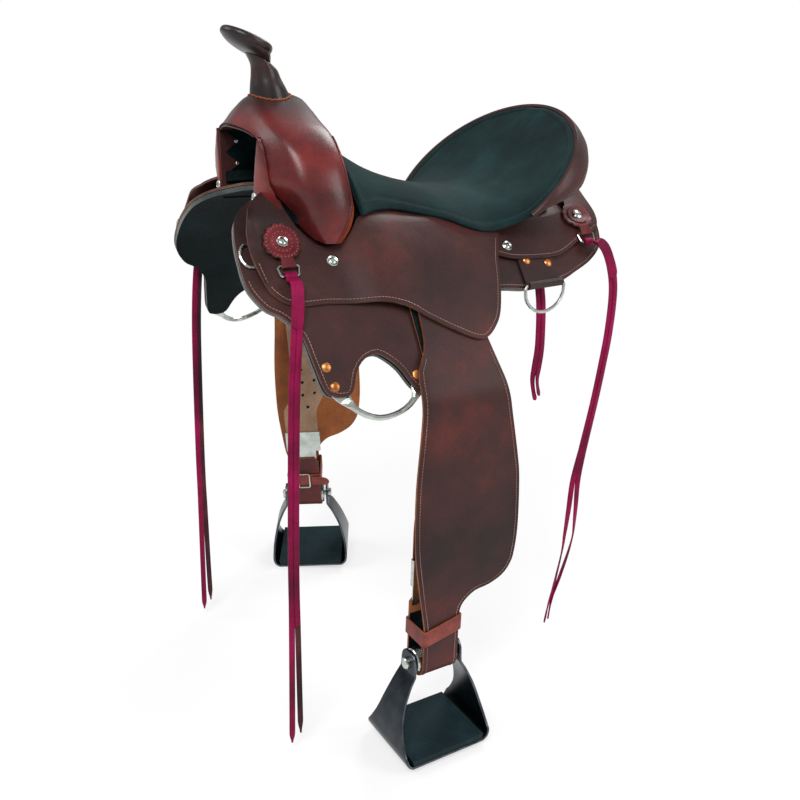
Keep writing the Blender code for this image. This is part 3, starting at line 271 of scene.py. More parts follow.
def leatherMaterial(name, look):
    look = {**leather, **look}
    made, tree, shader, coordinates = newMaterial(name)
    patches = noiseNode(tree, coordinates, look["patchScale"], 5.0, 0.62)
    tones = ramp(tree, patches, tuple(zip(look["patchStops"], look["tones"])))
    speckle = noiseNode(tree, coordinates, look["speckleScale"], 2.0, 0.5)
    speckles = ramp(tree, speckle, look["speckles"])
    colour = addNode(tree, "Mix", {"Factor": look["speckle"]}, {6: (tones, "Color"), 7: (speckles, "Color")},
                     data_type="RGBA", blend_type="MULTIPLY")
    if "paintedTopShade" in look:
        colour = paintedTopShade(tree, coordinates, colour, *look["paintedTopShade"])
    rough = addNode(tree, "MapRange", {"To Min": look["roughness"] - 0.1, "To Max": look["roughness"] + 0.12},
                    {"Value": (patches, "Fac")})
    cells = addNode(tree, "TexVoronoi", {"Scale": look["grainScale"]}, {"Vector": (coordinates, "Object")})
    creases = noiseNode(tree, coordinates, look["creaseScale"], 6.0, 0.6)
    fine = addNode(tree, "Bump", {"Strength": look["grain"], "Distance": 0.0004},
                   {"Height": (cells, "Distance")})
    coarse = addNode(tree, "Bump", {"Strength": look["crease"], "Distance": 0.0015},
                     {"Height": (creases, "Fac"), "Normal": (fine, "Normal")})
    wire(tree, shader, {
        "Specular IOR Level": look["specular"], "Coat Weight": look["coat"], "Coat Roughness": 0.25,
        "Sheen Weight": look["sheen"], "Sheen Roughness": 0.6,
    }, {"Base Color": (colour, 2), "Roughness": (rough, "Result"), "Normal": (coarse, "Normal")})
    return made


def metalMaterial(name, look):
    made, tree, shader, coordinates = newMaterial(name)
    smudge = noiseNode(tree, coordinates, 45.0, 5.0, 0.6)
    tones = ramp(tree, smudge, tuple(zip((0.35, 0.65), look["tones"])))
    rough = addNode(tree, "MapRange", {"To Min": look["roughness"] - 0.08, "To Max": look["roughness"] + 0.1},
                    {"Value": (smudge, "Fac")})
    bump = addNode(tree, "Bump", {"Strength": look.get("bump", 0.08), "Distance": 0.0008},
                   {"Height": (smudge, "Fac")})
    wire(tree, shader, {"Metallic": 1.0}, {
        "Base Color": (tones, "Color"), "Roughness": (rough, "Result"), "Normal": (bump, "Normal")})
    return made


# a look's tones run from dark to light
leather = {
    "patchScale": 11.0, "patchStops": (0.34, 0.52, 0.7), "speckleScale": 420.0, "speckle": 0.7,
    "speckles": ((0.3, (0.72, 0.72, 0.72)), (0.6, (1.0, 1.0, 1.0))), "grainScale": 620.0, "grain": 0.25,
    "creaseScale": 60.0, "crease": 0.25, "specular": 0.22, "coat": 0.0, "sheen": 0.0,
}
looks = {
    "brown": {"tones": ((0.022, 0.010, 0.010), (0.048, 0.016, 0.014), (0.125, 0.022, 0.018)),
              "roughness": 0.46, "coat": 0.02, "crease": 0.25, "patchScale": 5.0},
    "band_brown": {"tones": ((0.026, 0.011, 0.011), (0.048, 0.016, 0.015), (0.08, 0.02, 0.018)),
                   "roughness": 0.38, "coat": 0.06, "crease": 0.3, "patchScale": 9.0},
    "horn": {"tones": ((0.01, 0.009, 0.01), (0.02, 0.012, 0.012), (0.042, 0.014, 0.013)),
             "roughness": 0.34, "coat": 0.22, "crease": 0.4, "patchScale": 20.0},
    # the fork's tones carry painted shade, darker towards the top round the horn's base
    "fork": {"tones": ((0.035, 0.009, 0.009), (0.11, 0.012, 0.012), (0.21, 0.022, 0.02)),
             "roughness": 0.33, "coat": 0.3, "crease": 0.3, "patchScale": 8.0, "paintedTopShade": (0.116, 0.156)},
    "band": {"tones": ((0.13, 0.016, 0.006), (0.24, 0.035, 0.008), (0.33, 0.06, 0.012)),
             "roughness": 0.45, "crease": 0.4, "patchScale": 20.0},
    "rosette": {"tones": ((0.07, 0.01, 0.013), (0.13, 0.013, 0.018), (0.18, 0.02, 0.026)),
                "roughness": 0.45, "crease": 0.35, "patchScale": 30.0},
    "hobble": {"tones": ((0.1, 0.022, 0.02), (0.18, 0.035, 0.03), (0.26, 0.06, 0.045)),
               "roughness": 0.45, "crease": 0.5, "patchScale": 30.0},
    "string": {"tones": ((0.1, 0.003, 0.024), (0.2, 0.003, 0.042), (0.3, 0.005, 0.07)),
               "roughness": 0.5, "crease": 0.5, "creaseScale": 160.0, "specular": 0.12},
    "stringBack": {"tones": ((0.022, 0.01, 0.014), (0.05, 0.014, 0.02), (0.11, 0.03, 0.03)),
                   "roughness": 0.6, "crease": 0.5, "creaseScale": 160.0, "specular": 0.12},
    "edge": {"tones": ((0.13, 0.035, 0.015), (0.24, 0.07, 0.025), (0.36, 0.12, 0.05)),
             "roughness": 0.55, "crease": 0.6, "creaseScale": 260.0},
    "darkEdge": {"tones": ((0.05, 0.022, 0.016), (0.11, 0.05, 0.035), (0.2, 0.1, 0.07)),
                 "roughness": 0.5, "crease": 0.4, "creaseScale": 260.0},
    "flesh": {"tones": ((0.22, 0.06, 0.016), (0.34, 0.1, 0.022), (0.46, 0.16, 0.05)),
              "roughness": 0.75, "crease": 0.7, "creaseScale": 200.0, "sheen": 0.1},
    "beige": {"tones": ((0.2, 0.12, 0.07), (0.3, 0.19, 0.12), (0.4, 0.28, 0.19)),
              "roughness": 0.7, "crease": 0.6, "creaseScale": 180.0},
    "black": {"tones": ((0.001, 0.004, 0.005), (0.002, 0.008, 0.009), (0.004, 0.018, 0.02)),
              "roughness": 0.42, "crease": 0.6, "specular": 0.07},
    "suede": {"tones": ((0.003, 0.012, 0.013), (0.005, 0.021, 0.022), (0.01, 0.036, 0.037)),
              "roughness": 0.85, "crease": 0.4, "creaseScale": 320.0, "grain": 0.4, "grainScale": 1500.0,
              "sheen": 0.03, "specular": 0.12, "patchScale": 12.0},
    # painted highlight: a pale grey colour for the lining's cut edges
    "paintedEdgeHighlight": {"tones": ((0.025, 0.035, 0.034), (0.07, 0.085, 0.08), (0.16, 0.18, 0.17)),
             "roughness": 0.95, "crease": 0.9, "creaseScale": 420.0, "sheen": 0.2, "specular": 0.2},
    "thread": {"tones": ((0.18, 0.09, 0.07), (0.3, 0.17, 0.14), (0.42, 0.27, 0.22)),
               "roughness": 0.6, "crease": 0.6, "creaseScale": 500.0},
    "darkThread": {"tones": ((0.015, 0.025, 0.025), (0.03, 0.045, 0.045), (0.05, 0.07, 0.07)),
                   "roughness": 0.6, "crease": 0.6, "creaseScale": 500.0},
    "rubber": {"tones": ((0.003, 0.012, 0.015), (0.006, 0.021, 0.026), (0.011, 0.034, 0.04)),
               "roughness": 0.7, "crease": 0.7, "creaseScale": 520.0, "grain": 0.6, "grainScale": 380.0},
}
metals = {
    "steel": {"tones": ((0.4, 0.43, 0.4), (0.62, 0.66, 0.62)), "roughness": 0.24},
    "stirrup": {"tones": ((0.018, 0.022, 0.028), (0.036, 0.045, 0.052)), "roughness": 0.3, "bump": 0.12},
    "copper": {"tones": ((0.42, 0.15, 0.05), (0.68, 0.29, 0.1)), "roughness": 0.35},
    "steelEdge": {"tones": ((0.05, 0.055, 0.07), (0.12, 0.13, 0.15)), "roughness": 0.28},
}
materials = {name: leatherMaterial(name, look) for name, look in looks.items()}
materials.update({name: metalMaterial(name, look) for name, look in metals.items()})
thread = {"radius": 0.55, "pitch": 4.6}
print("materials made")


# Meshes

def placed(name, data):
    made = bpy.data.objects.new(name, data)
    bpy.context.scene.collection.objects.link(made)
    return made


def finishPiece(name, bm, finishes, body="saddle", replaced=None, sharp=40.0, bevel=0.0, subdivide=0):
    mesh = bpy.data.meshes.new(name)
    bmesh.ops.recalc_face_normals(bm, faces=bm.faces[:])
    bm.to_mesh(mesh)
    bm.free()
    mesh.shade_smooth()
    mesh.set_sharp_from_angle(angle=math.radians(sharp))
    piece = placed(name, mesh)
    for finish in finishes:
        mesh.materials.append(materials[finish])
    if bevel:
        rim = piece.modifiers.new("rim", "BEVEL")
        rim.width = bevel * mm
        rim.segments = 2
        rim.limit_method = "ANGLE"
        rim.angle_limit = math.radians(48.0)
        rim.harden_normals = False
    if subdivide:
        fine = piece.modifiers.new("fine", "SUBSURF")
        fine.levels = subdivide
        fine.render_levels = subdivide
    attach(piece, body)
    if replaced:
        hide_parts(replaced)
    return piece


def gridFaces(bm, grid, closedAcross=False, closedAlong=False):
    rows = len(grid)
    columns = len(grid[0])
    for i in range(rows if closedAlong else rows - 1):
        for j in range(columns if closedAcross else columns - 1):
            n = (i + 1) % rows
            k = (j + 1) % columns
            bm.faces.new((grid[i][j], grid[i][k], grid[n][k], grid[n][j]))


def slab(top, bottom, edgeFinish=0):
    bm = bmesh.new()
    rows = len(top)
    columns = len(top[0])
    upper = [[bm.verts.new(p * mm) for p in row] for row in top]
    lower = [[bm.verts.new(p * mm) for p in row] for row in bottom]
    gridFaces(bm, upper)
    gridFaces(bm, lower)
    rim = [(0, j) for j in range(columns)] + [(i, columns - 1) for i in range(1, rows)]
    rim += [(rows - 1, j) for j in range(columns - 2, -1, -1)] + [(i, 0) for i in range(rows - 2, 0, -1)]
    for (i, j), (n, k) in zip(rim, rim[1:] + rim[:1]):
        bm.faces.new((upper[i][j], upper[n][k], lower[n][k], lower[i][j])).material_index = edgeFinish
    return bm


def slabPiece(name, top, bottom, finishes, *rest, **how):
    # a second finish is the one of the cut edges
    return finishPiece(name, slab(top, bottom, min(1, len(finishes) - 1)), finishes, *rest, **how)


def loft(bm, rings, closedAlong=False):
    verts = [[bm.verts.new(p * mm) for p in ring] for ring in rings]
    gridFaces(bm, verts, True, closedAlong)
    if not closedAlong:
        bm.faces.new(verts[0])
        bm.faces.new(verts[-1])


def ringAt(centre, first, second, radius, count):
    return [centre + first * (radius * math.cos(a)) + second * (radius * math.sin(a)) for a in turns(count)]


def basis(along):
    helper = Vector((0.0, 0.0, 1.0)) if abs(along.z) < 0.9 else Vector((1.0, 0.0, 0.0))
    first = along.cross(helper).normalized()
    return first, along.cross(first).normalized()


def tube(bm, points, radius, count, closed=False):
    rings = []
    total = len(points)
    first = None
    for i, point in enumerate(points):
        before = points[i - 1] if closed or i else points[0]
        after = points[(i + 1) % total] if closed or i < total - 1 else points[-1]
        along = (after - before).normalized()
        if first is None:
            first, second = basis(along)
        else:
            first = (first - along * first.dot(along)).normalized()
            second = along.cross(first).normalized()
        rings.append(ringAt(point, first, second, radius, count))
    loft(bm, rings, closed)


def turned(bm, centre, normal, profile, count):
    first, second = basis(normal)
    loft(bm, [ringAt(centre + normal * height, first, second, radius, count) for radius, height in profile])


def cutPattern(outline, spacing, linesS=None):
    bm = bmesh.new()
    bm.faces.new([bm.verts.new((p.x, p.y, 0.0)) for p in outline])
    lowX = min(p.x for p in outline)
    highX = max(p.x for p in outline)
    lowS = min(p.y for p in outline)
    highS = max(p.y for p in outline)
    linesX = [lowX + spacing * (k + 0.5) for k in range(int((highX - lowX) / spacing))]
    if linesS is None:
        linesS = [lowS + spacing * (k + 0.5) for k in range(int((highS - lowS) / spacing))]
    for normal, places in (((1, 0, 0), linesX), ((0, 1, 0), linesS)):
        for place in places:
            everything = bm.verts[:] + bm.edges[:] + bm.faces[:]
            at = (place * normal[0], place * normal[1], 0.0)
            bmesh.ops.bisect_plane(bm, geom=everything, dist=0.6, plane_co=at, plane_no=normal)
    return bm


def sheetFromPattern(name, outline, spacing, low, high, finishes, body="saddle", bevel=1.1, linesS=None,
                     replaced=None):
    flat = cutPattern(outline, spacing, linesS)
    flat.verts.index_update()
    bm = bmesh.new()
    places = [v.co.copy() for v in flat.verts]
    top = [bm.verts.new(high(p.x, p.y) * mm) for p in places]
    bottom = [bm.verts.new(low(p.x, p.y) * mm) for p in places]
    for face in flat.faces:
        corners = [v.index for v in face.verts]
        bm.faces.new([top[i] for i in corners])
        lower = bm.faces.new([bottom[i] for i in reversed(corners)])
        lower.material_index = 2 if len(finishes) > 2 else 0
    for edge in flat.edges:
        if edge.is_boundary:
            a, b = (v.index for v in edge.verts)
            bm.faces.new((bottom[a], bottom[b], top[b], top[a])).material_index = 1
    flat.free()
    return finishPiece(name, bm, finishes, body, replaced, sharp=60.0, bevel=bevel)


def insetOutline(outline, distance):
    count = len(outline)
    area = sum(a.x * b.y - b.x * a.y for a, b in zip(outline, outline[1:] + outline[:1]))
    turn = 1.0 if area > 0 else -1.0
    result = []
    for i, point in enumerate(outline):
        along = outline[(i + 1) % count] - outline[i - 1]
        if along.length < 1e-6:
            continue
        inward = Vector((-along.y, along.x)).normalized() * turn
        result.append(point + inward * distance)
    return result


def stitches(bm, points, place):
    pitch = thread["pitch"]
    travelled = 0.0
    due = 0.0
    for a, b in zip(points, points[1:]):
        length = (b - a).length
        if length < 1e-6:
            continue
        along = (b - a) / length
        while due < travelled + length:
            start = a + along * (due - travelled)
            ends = [start, start + along * (0.36 * pitch), start + along * (0.72 * pitch)]
            path = [place(p.x, p.y, h) for p, h in zip(ends, (0.0, 0.5, 0.0))]
            tube(bm, path, thread["radius"], 5)
            due += pitch
        travelled += length


# Camera, light and floor

def makeCamera():
    yaw = camera["yaw"]
    pitch = camera["pitch"]
    roll = camera["roll"]
    image = camera["image"]
    ahead = Vector((math.sin(yaw) * math.cos(pitch), math.cos(yaw) * math.cos(pitch), -math.sin(pitch)))
    right = Vector((math.cos(yaw), -math.sin(yaw), 0.0))
    up = right.cross(ahead)
    turnedRight = right * math.cos(roll) + up * math.sin(roll)
    turnedUp = up * math.cos(roll) - right * math.sin(roll)
    data = bpy.data.cameras.new("photo_camera")
    data.sensor_width = camera["sensor"]
    data.lens = camera["focal"] * camera["sensor"] / image
    data.shift_x = (0.5 * image - camera["middle"][0]) / image
    data.shift_y = (camera["middle"][1] - 0.5 * image) / image
    data.clip_start = 0.01
    made = placed("photo_camera", data)
    turn = Matrix((turnedRight, turnedUp, -ahead)).transposed()
    made.matrix_world = Matrix.Translation(Vector(camera["place"]) * mm) @ turn.to_4x4()
    bpy.context.scene.camera = made


studio = {
    "lamps": (
        ("key", (-1.6, -1.9, 2.3), 78.0, 1.4),
        ("fill", (-2.2, 0.9, 1.5), 26.0, 1.4),
        ("rim", (1.7, 0.9, 1.9), 34.0, 1.2),
        ("side", (1.5, -1.9, 0.9), 22.0, 1.2),
    ),
    "world": 0.42, "floorMargin": 0.0006, "floorHalf": 12.0, "fadeFrom": 0.85, "fadeTo": 1.35,
    "nearWhite": 0.6, "aim": (0.0, 0.0, -0.25),
}


def floorMaterial():
    made, tree, shader, coordinates = newMaterial("floor")
    wire(tree, shader, {"Base Color": (0.9, 0.9, 0.9, 1.0), "Roughness": 0.9})
    white = addNode(tree, "Emission")
    away = addNode(tree, "VectorMath", links={0: (coordinates, "Object")}, operation="LENGTH")
    share = addNode(tree, "MapRange", {
        "From Min": studio["fadeFrom"], "From Max": studio["fadeTo"], "To Min": studio["nearWhite"],
    }, {"Value": (away, "Value")})
    rays = addNode(tree, "LightPath")
    seen = addNode(tree, "Math", links={0: (rays, "Is Camera Ray"), 1: (rays, "Is Glossy Ray")},
                   operation="MAXIMUM")
    both = addNode(tree, "Math", links={0: (share, "Result"), 1: (seen, "Value")}, operation="MULTIPLY")
    mix = addNode(tree, "MixShader", links={0: (both, "Value"), 1: (shader, "BSDF"), 2: (white, "Emission")})
    wire(tree, tree.nodes["Material Output"], links={"Surface": (mix, "Shader")})
    return made


def makeStudio():
    for name, place, power, size in studio["lamps"]:
        data = bpy.data.lights.new(name, "AREA")
        data.energy = power
        data.size = size
        lamp = placed(name, data)
        lamp.location = place
        lamp.rotation_euler = (Vector(studio["aim"]) - Vector(place)).to_track_quat("-Z", "Y").to_euler()
    world = bpy.data.worlds.new("studio")
    bpy.context.scene.world = world
    world.use_nodes = True
    tree = world.node_tree
    rays = addNode(tree, "LightPath")
    seen = addNode(tree, "Math", links={0: (rays, "Is Camera Ray"), 1: (rays, "Is Transmission Ray")},
                   operation="MAXIMUM")
    level = addNode(tree, "MapRange", {"To Min": studio["world"], "To Max": 1.0}, {"Value": (seen, "Value")})
    wire(tree, tree.nodes["Background"], {"Color": (1.0, 1.0, 1.0, 1.0)}, {"Strength": (level, "Result")})
    low = min(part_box(n)[0].z for n in nodes) - studio["floorMargin"]
    bm = bmesh.new()
    bmesh.ops.create_grid(bm, x_segments=2, y_segments=2, size=studio["floorHalf"])
    bmesh.ops.translate(bm, verts=bm.verts[:], vec=(0.0, 0.0, low))
    mesh = bpy.data.meshes.new("studio_floor")
    bm.to_mesh(mesh)
    bm.free()
    floor = placed("studio_floor", mesh)
    mesh.materials.append(floorMaterial())
    bpy.context.scene.view_settings.view_transform = "Standard"


makeCamera()
makeStudio()
print("camera and studio made")


# Strings

strings = {
    "front": {
        "route": ((-232, -177, -65), (-235, -186, -82), (-240, -195, -120), (-245, -198, -200),
                  (-247, -199, -300), (-248, -200, -452), (-247, -201, -560), (-246, -202, -680),
                  (-245, -202, -766)),
        "body": "front_tie_", "apart": ((0, 4.2), (0.1, 3.4), (0.7, 3.8), (1, 7.0)), "shorter": 0.97,
        "wave": 0.0, "dee": (-233.0, 194.0), "top": jockeyTop, "darkBelow": {-1: -560.0, 1: -60.0},
        "foldEnd": ((-232.5, -177.5, -64.0), (-235, -187.5, -82), (-237.5, -192.5, -100),
                    (-240, -196.2, -118)),
    },
    "rear": {
        "route": ((264, -184, -38), (278, -188, -48), (294, -190, -78), (305, -190, -120), (306, -190, -183),
                  (301, -190, -240), (293, -190, -305), (281, -190, -380), (272, -190, -441),
                  (272, -190, -500), (270, -190, -560), (258, -190, -620), (246, -190, -668),
                  (241, -190, -712)),
        "body": "rear_tie_", "apart": ((0, 3.6), (0.55, 3.0), (0.75, 9.0), (0.9, 1.0), (1, 3.0)),
        "shorter": 0.985, "wave": 1.0,
        "dee": (260.0, 194.0), "top": rearJockeyTop,
        "foldEnd": ((264, -185.5, -38.5), (278, -189.8, -49), (293, -191.6, -77), (300, -191.8, -96)),
    },
    "inner": {
        "route": ((170, -168, -88), (171, -172, -105), (173, -176, -130), (175, -178, -165),
                  (175, -180, -200), (172, -181, -230), (170, -182, -250), (173, -183, -268),
                  (178, -184, -284)),
        "apart": ((0, 3.6), (1, 4.2)), "shorter": 0.94, "wave": 0.4,
    },
    "step": 21.0, "width": 9.0, "thickness": 2.8, "foldWidth": 17.0, "foldThickness": 3.6,
    "foldStart": ((-4.6, 2.4), (-3.4, 4.4), (-1.0, 6.4), (2.0, 6.8), (6.0, 5.8)),
}


def ribbon(bm, points, width, thickness, turn):
    rings = []
    total = len(points)
    for i, point in enumerate(points):
        along = (points[min(i + 1, total - 1)] - points[max(i - 1, 0)]).normalized()
        a = turn(i / (total - 1))
        facing = Vector((math.cos(a), math.sin(a), 0.0))
        wide = (facing - along * facing.dot(along)).normalized()
        flat = along.cross(wide).normalized()
        pointed = 1.0 - 0.75 * smoothstep((i / (total - 1) - 0.965) / 0.035)
        ring = []
        for b in turns(12, 0.5):
            x = math.copysign(abs(math.cos(b)) ** 0.45, math.cos(b)) * 0.5 * width * pointed
            y = math.copysign(abs(math.sin(b)) ** 0.6, math.sin(b)) * 0.5 * thickness
            ring.append(point + wide * x + flat * y)
        rings.append(ring)
    loft(bm, rings)


def makeString(name, values, side, body):
    points = [Vector((x, -side * y, z)) for x, y, z in values["route"]]
    length = sum((b - a).length for a, b in zip(points, points[1:]))
    spans = max(2, round(length / (strings["step"] * (len(points) - 1))))
    middle = smoothPath(points, 3 * spans)
    count = len(middle)
    darkBelow = values.get("darkBelow")
    for tail, sign in (("front_tail", -1.0), ("rear_tail", 1.0)):
        reach = count if sign < 0 else round(count * values["shorter"])
        path = []
        for i in range(reach):
            shift = sign * table(values["apart"], i / (count - 1))
            path.append(middle[i] + Vector((shift, side * sign * 0.8, 0.0)))
        bm = bmesh.new()
        ribbon(bm, path, strings["width"], strings["thickness"],
               lambda t: 0.1 * sign + values["wave"] * 1.1 * smoothstep((t - 0.45) / 0.35) * math.sin(9 * t))
        if sign > 0 and darkBelow:  # the second tail turns its dark side out
            for face in bm.faces:
                face.material_index = 1 if face.calc_center_median().z < darkBelow[side] * mm else 0
        piece = finishPiece(name + "_" + tail, bm, ["string", "stringBack"], body, name, sharp=50.0)


def makeTieFold(name, values, side, body):
    # the doubled string comes up through the dee and folds over its lower bar
    x, s = values["dee"]
    top = values["top"]
    path = [onSide(x, s + down, top(x, s + down) + lift, side) for down, lift in strings["foldStart"]]
    path += [Vector((x, -side * y, z)) for x, y, z in values["foldEnd"]]
    bm = bmesh.new()
    ribbon(bm, smoothPath(path, 5), strings["foldWidth"], strings["foldThickness"], lambda t: 0.0)
    finishPiece(name, bm, ["string"], body, sharp=50.0)


for word, side in sides.items():
    for end in ("front", "rear"):
        makeString(end + "_string_" + word, strings[end], side, strings[end]["body"] + word)
        makeTieFold(end + "_tie_fold_" + word, strings[end], side, strings[end]["body"] + word)
makeString("inner_rear_string", strings["inner"], -1, "saddle")
print("strings made")

# Plain finishes for the nodes that keep their solids
nodeFinish = {
    "steel_bright": "steel", "stirrup_steel": "stirrup", "tread_rubber": "rubber", "tree_wood": "black",
    "leather_brown": "brown", "leather_fork": "fork", "leather_strap": "hobble", "leather_black": "black",
    "leather_string": "string", "suede_black": "suede",
}
for part in frame["record"]["subparts"]:
    node = nodes[part["node"]]
    node.data.materials.clear()
    node.data.materials.append(materials[nodeFinish[part["material_slot"]]])


# Side leather

skirt = {
    "outline": (
        (-217, 49, 0), (-256, 73), (-278, 96), (-287, 119), (-292, 154), (-290, 198), (-273, 229),
        (-252, 245), (-233, 271), (-226, 305), (-218, 346), (-209, 356), (-194, 360), (-182, 356),
        (-170, 330), (-156, 316), (-138, 312), (-123, 323), (-111, 338), (-104, 353), (-96, 367),
        (-85, 371), (-76, 362), (-66, 320), (-40, 268), (20, 246), (87, 244), (135, 249), (199, 243),
        (228, 234), (261, 221), (287, 202), (299, 176), (303, 140), (302, 90), (298, 40), (294, 7, 0),
        (250, 7, 0), (238, 30), (200, 44), (60, 44), (-100, 44), (-180, 44),
    ),
    "spacing": 11.0, "edgeSpacing": 6.0, "stitchInset": 5.0,
}
jockey = {
    "outline": (
        (-206, 62, 0), (-240, 76), (-266, 97), (-278, 132), (-278, 163), (-274, 185), (-266, 206),
        (-248, 226), (-224, 234), (-188, 236), (-150, 242), (-113, 248), (-82, 261), (-56, 280),
        (-18, 303), (8, 316), (26, 317), (45, 303), (60, 282), (75, 240), (83, 208), (91, 188),
        (101, 166, 0), (92, 160), (56, 154), (18, 134), (-20, 110), (-54, 100), (-86, 107), (-110, 119),
        (-121, 128), (-130, 140), (-144, 152), (-166, 157), (-188, 151), (-203, 132), (-216, 110),
        (-220, 84),
    ),
    "spacing": 9.0, "edgeSpacing": 6.0, "stitchInset": 5.5,
}
rearJockey = {
    "outline": (
        (84, 146, 0), (84, 186), (104, 199), (126, 204), (162, 207), (198, 207), (221, 200), (245, 189),
        (266, 180), (290, 172), (300, 148), (298, 110), (296, 60), (292, 8, 0), (262, 8, 0), (252, 50),
        (258, 110), (236, 134), (180, 142),
    ),
    "spacing": 9.0, "edgeSpacing": 6.0, "stitchInset": 5.0,
}
plate = {"t": 2.4}


def liningTop(x, s):
    nearX = smoothstep((x + 240.0) / 22.0) * smoothstep((-45.0 - x) / 22.0)
    drop = (plate["t"] + layers["gap"]) * nearX * table(((250, 0), (272, 1)), s)
    return -layers["skirt"] - layers["gap"] - drop


def sideLeather(name, piece, bottom, thickness, finishes, side, bevel=1.1):
    outline = patternOutline(piece["outline"], piece["edgeSpacing"])
    sheetFromPattern(name + "_leather", outline, piece["spacing"],
                     lambda x, s: onSide(x, s, bottom(x, s), side),
                     lambda x, s: onSide(x, s, bottom(x, s) + thickness, side), finishes, bevel=bevel,
                     replaced=name)
    return outline


def stitchedEdge(name, outline, inset, top, side, lowS):
    bm = bmesh.new()
    line = insetOutline(outline, inset)
    runs = [[]]
    for p in line + line[:1]:
        if p.y > lowS(p.x):
            runs[-1].append(p)
        elif runs[-1]:
            runs.append([])
    for run in runs:
        if len(run) > 2:
            stitches(bm, run, lambda x, s, h: onSide(x, s, top(x, s) + h, side))
    finishPiece(name, bm, ["thread"])


for word, side in sides.items():
    for name, piece, bottom, thickness, lowS in (
            ("skirt_", skirt, lambda x, s: -layers["skirt"], layers["skirt"],
             lambda x: 190.0 if x < 150 else 120.0),
            ("rear_jockey_", rearJockey, rearJockeyBottom, layers["rearJockey"], lambda x: 165.0),
            ("seat_jockey_", jockey, jockeyBottom, layers["jockey"], lambda x: 172.0)):
        outline = sideLeather(name + word, piece, bottom, thickness, ["brown", "darkEdge"], side)
        stitchedEdge(name + "stitching_" + word, outline, piece["stitchInset"],
                     lambda x, s: bottom(x, s) + thickness, side, lowS)
        if piece is skirt:
            # the lining's cut edges take the pale grey painted highlight
            sideLeather("lining_" + word, skirt, lambda x, s: liningTop(x, s) - layers["lining"],
                        layers["lining"], ["black", "paintedEdgeHighlight"], side, bevel=1.6)
print("side leather made")


# Fork cover, its welts, and the gullet's lining

fork = {
    "stations": (
        ((0, 160), -254, -135, (0, 120), -254, -148),
        ((36, 148), -253, -135, (28, 118), -250, -148),
        ((70, 133), -250, -136, (52, 114), -246, -146),
        ((100, 117), -246, -132, (73, 106), -242, -144),
        ((122, 98), -242, -127, (85, 92), -239, -140),
        ((137, 76), -238, -121, (92, 70), -238, -136),
        ((146, 52), -236, -119, (96, 49), -236, -130),
        ((150, 30), -227, -119, 110, -203, -124),
        ((152, 10), -216, -124, 121, -202, -126),
        ((151, -8), -203, -133, 132, -195, -131),
        ((150, -22), -188, -146, 147, -184, -147),
    ),
    "crown": ((0.0, 0.0), (0.06, 0.16), (0.13, 0.42), (0.2, 0.74), (0.3, 0.93), (0.5, 1.0), (0.7, 0.99),
              (0.84, 0.92), (0.94, 0.77), (1.0, 0.48), (1.0, 0.18), (0.97, 0.0)),
    "swell": ((0.0, 0.0), (0.06, 0.2), (0.12, 0.46), (0.2, 0.76), (0.3, 0.93), (0.48, 1.0), (0.64, 1.0),
              (0.76, 0.93), (0.86, 0.77), (0.94, 0.51), (0.99, 0.22), (1.0, 0.0)),
    "swellStation": 5.0, "edgeShare": 1.15, "perStation": 4, "frontColumns": 22, "rearColumns": 14,
    "perProfile": 24,
    "seam": ((0, 8.4), (2, 8.4), (3, 8.2), (4, 7.8), (5, 7.7), (6, 7.7), (7, 7.6), (8, 7.1), (9, 6.6),
             (10, 6.0)),
    "bandFrom": 3.2, "welts": ((1.5, 0.2), (0.7, 0.0)), "linerFoot": 6.0, "zigzagPoints": 5,
    "zigzag": (0.14, 0.42), "zigzagT": 1.5, "zigzagReach": 2.6,
    "tack": ((2.4, -0.3), (2.4, 0.3), (1.6, 0.9), (0.05, 1.1)), "tackShare": 0.29,
    "wall": ((108.0, 74.5, 77.0, -243.0, -241.5), (92.0, 70.5, 88.0, -243.5, -240.5),
             (72.0, 66.5, 95.0, -244.0, -240.0), (52.0, 64.0, 99.0, -244.5, -238.5),
             (36.0, 62.5, 104.0, -245.0, -232.0), (22.0, 62.0, 106.0, -245.0, -224.0),
             (11.0, 62.0, 104.0, -244.0, -220.0)),
    "wallX": (-160.0, -185.0, -215.0, -235.0), "wallT": 2.4, "wallSpan": (108.0, 97.0, 106.0, 92.0),
    "wallPoints": 3, "wallZigzag": (8.0, 30.0),
    "wallTack": ((2.6, -0.3), (2.6, 0.3), (1.7, 0.9), (0.05, 1.1)), "screwPlace": (-244.8, 68.5, 30.0),
    "screw": ((6.5, -0.6), (6.5, 1.0), (5.6, 1.6), (4.4, 1.0), (3.4, 1.6), (1.4, 1.7), (0.05, 1.2)),
}


def forkBase(inner, x):
    if isinstance(inner, tuple):
        return Vector((x, *inner))
    return onSide(x, inner, barTop(x, inner) + layers["gap"] + layers["air"], 1)


def forkGrid():
    half = []
    for i, (outer, frontOut, rearOut, inner, frontIn, rearIn) in enumerate(fork["stations"]):
        frontBase = forkBase(inner, frontIn)
        rearBase = forkBase(inner, rearIn)
        share = min(1.0, i / fork["swellStation"])
        row = []
        for crownPoint, swellPoint in zip(fork["crown"], fork["swell"]):
            across, out = Vector(crownPoint).lerp(Vector(swellPoint), share)
            crest = Vector((frontOut + (rearOut - frontOut) * across, *outer))
            row.append(frontBase.lerp(rearBase, across).lerp(crest, out))
        half.append(row)
    return [mirrored(row) for row in half[:0:-1]] + half


def fineFork(coarse):
    columns = [curveThrough([row[j] for row in coarse], fork["perStation"]) for j in range(len(coarse[0]))]
    fine = []
    steps = fork["perProfile"]
    middle = len(coarse) // 2
    last = len(columns) - 1
    for i in range(len(columns[0])):
        line = curveThrough([column[i] for column in columns], steps)
        seam = table(fork["seam"], abs(i / fork["perStation"] - middle))
        places = [seam * k / fork["frontColumns"] for k in range(fork["frontColumns"])]
        places += [seam + (last - seam) * k / fork["rearColumns"] for k in range(fork["rearColumns"] + 1)]
        fine.append([Vector(line[min(len(line) - 1, round(p * steps))]) for p in places])
    return fine


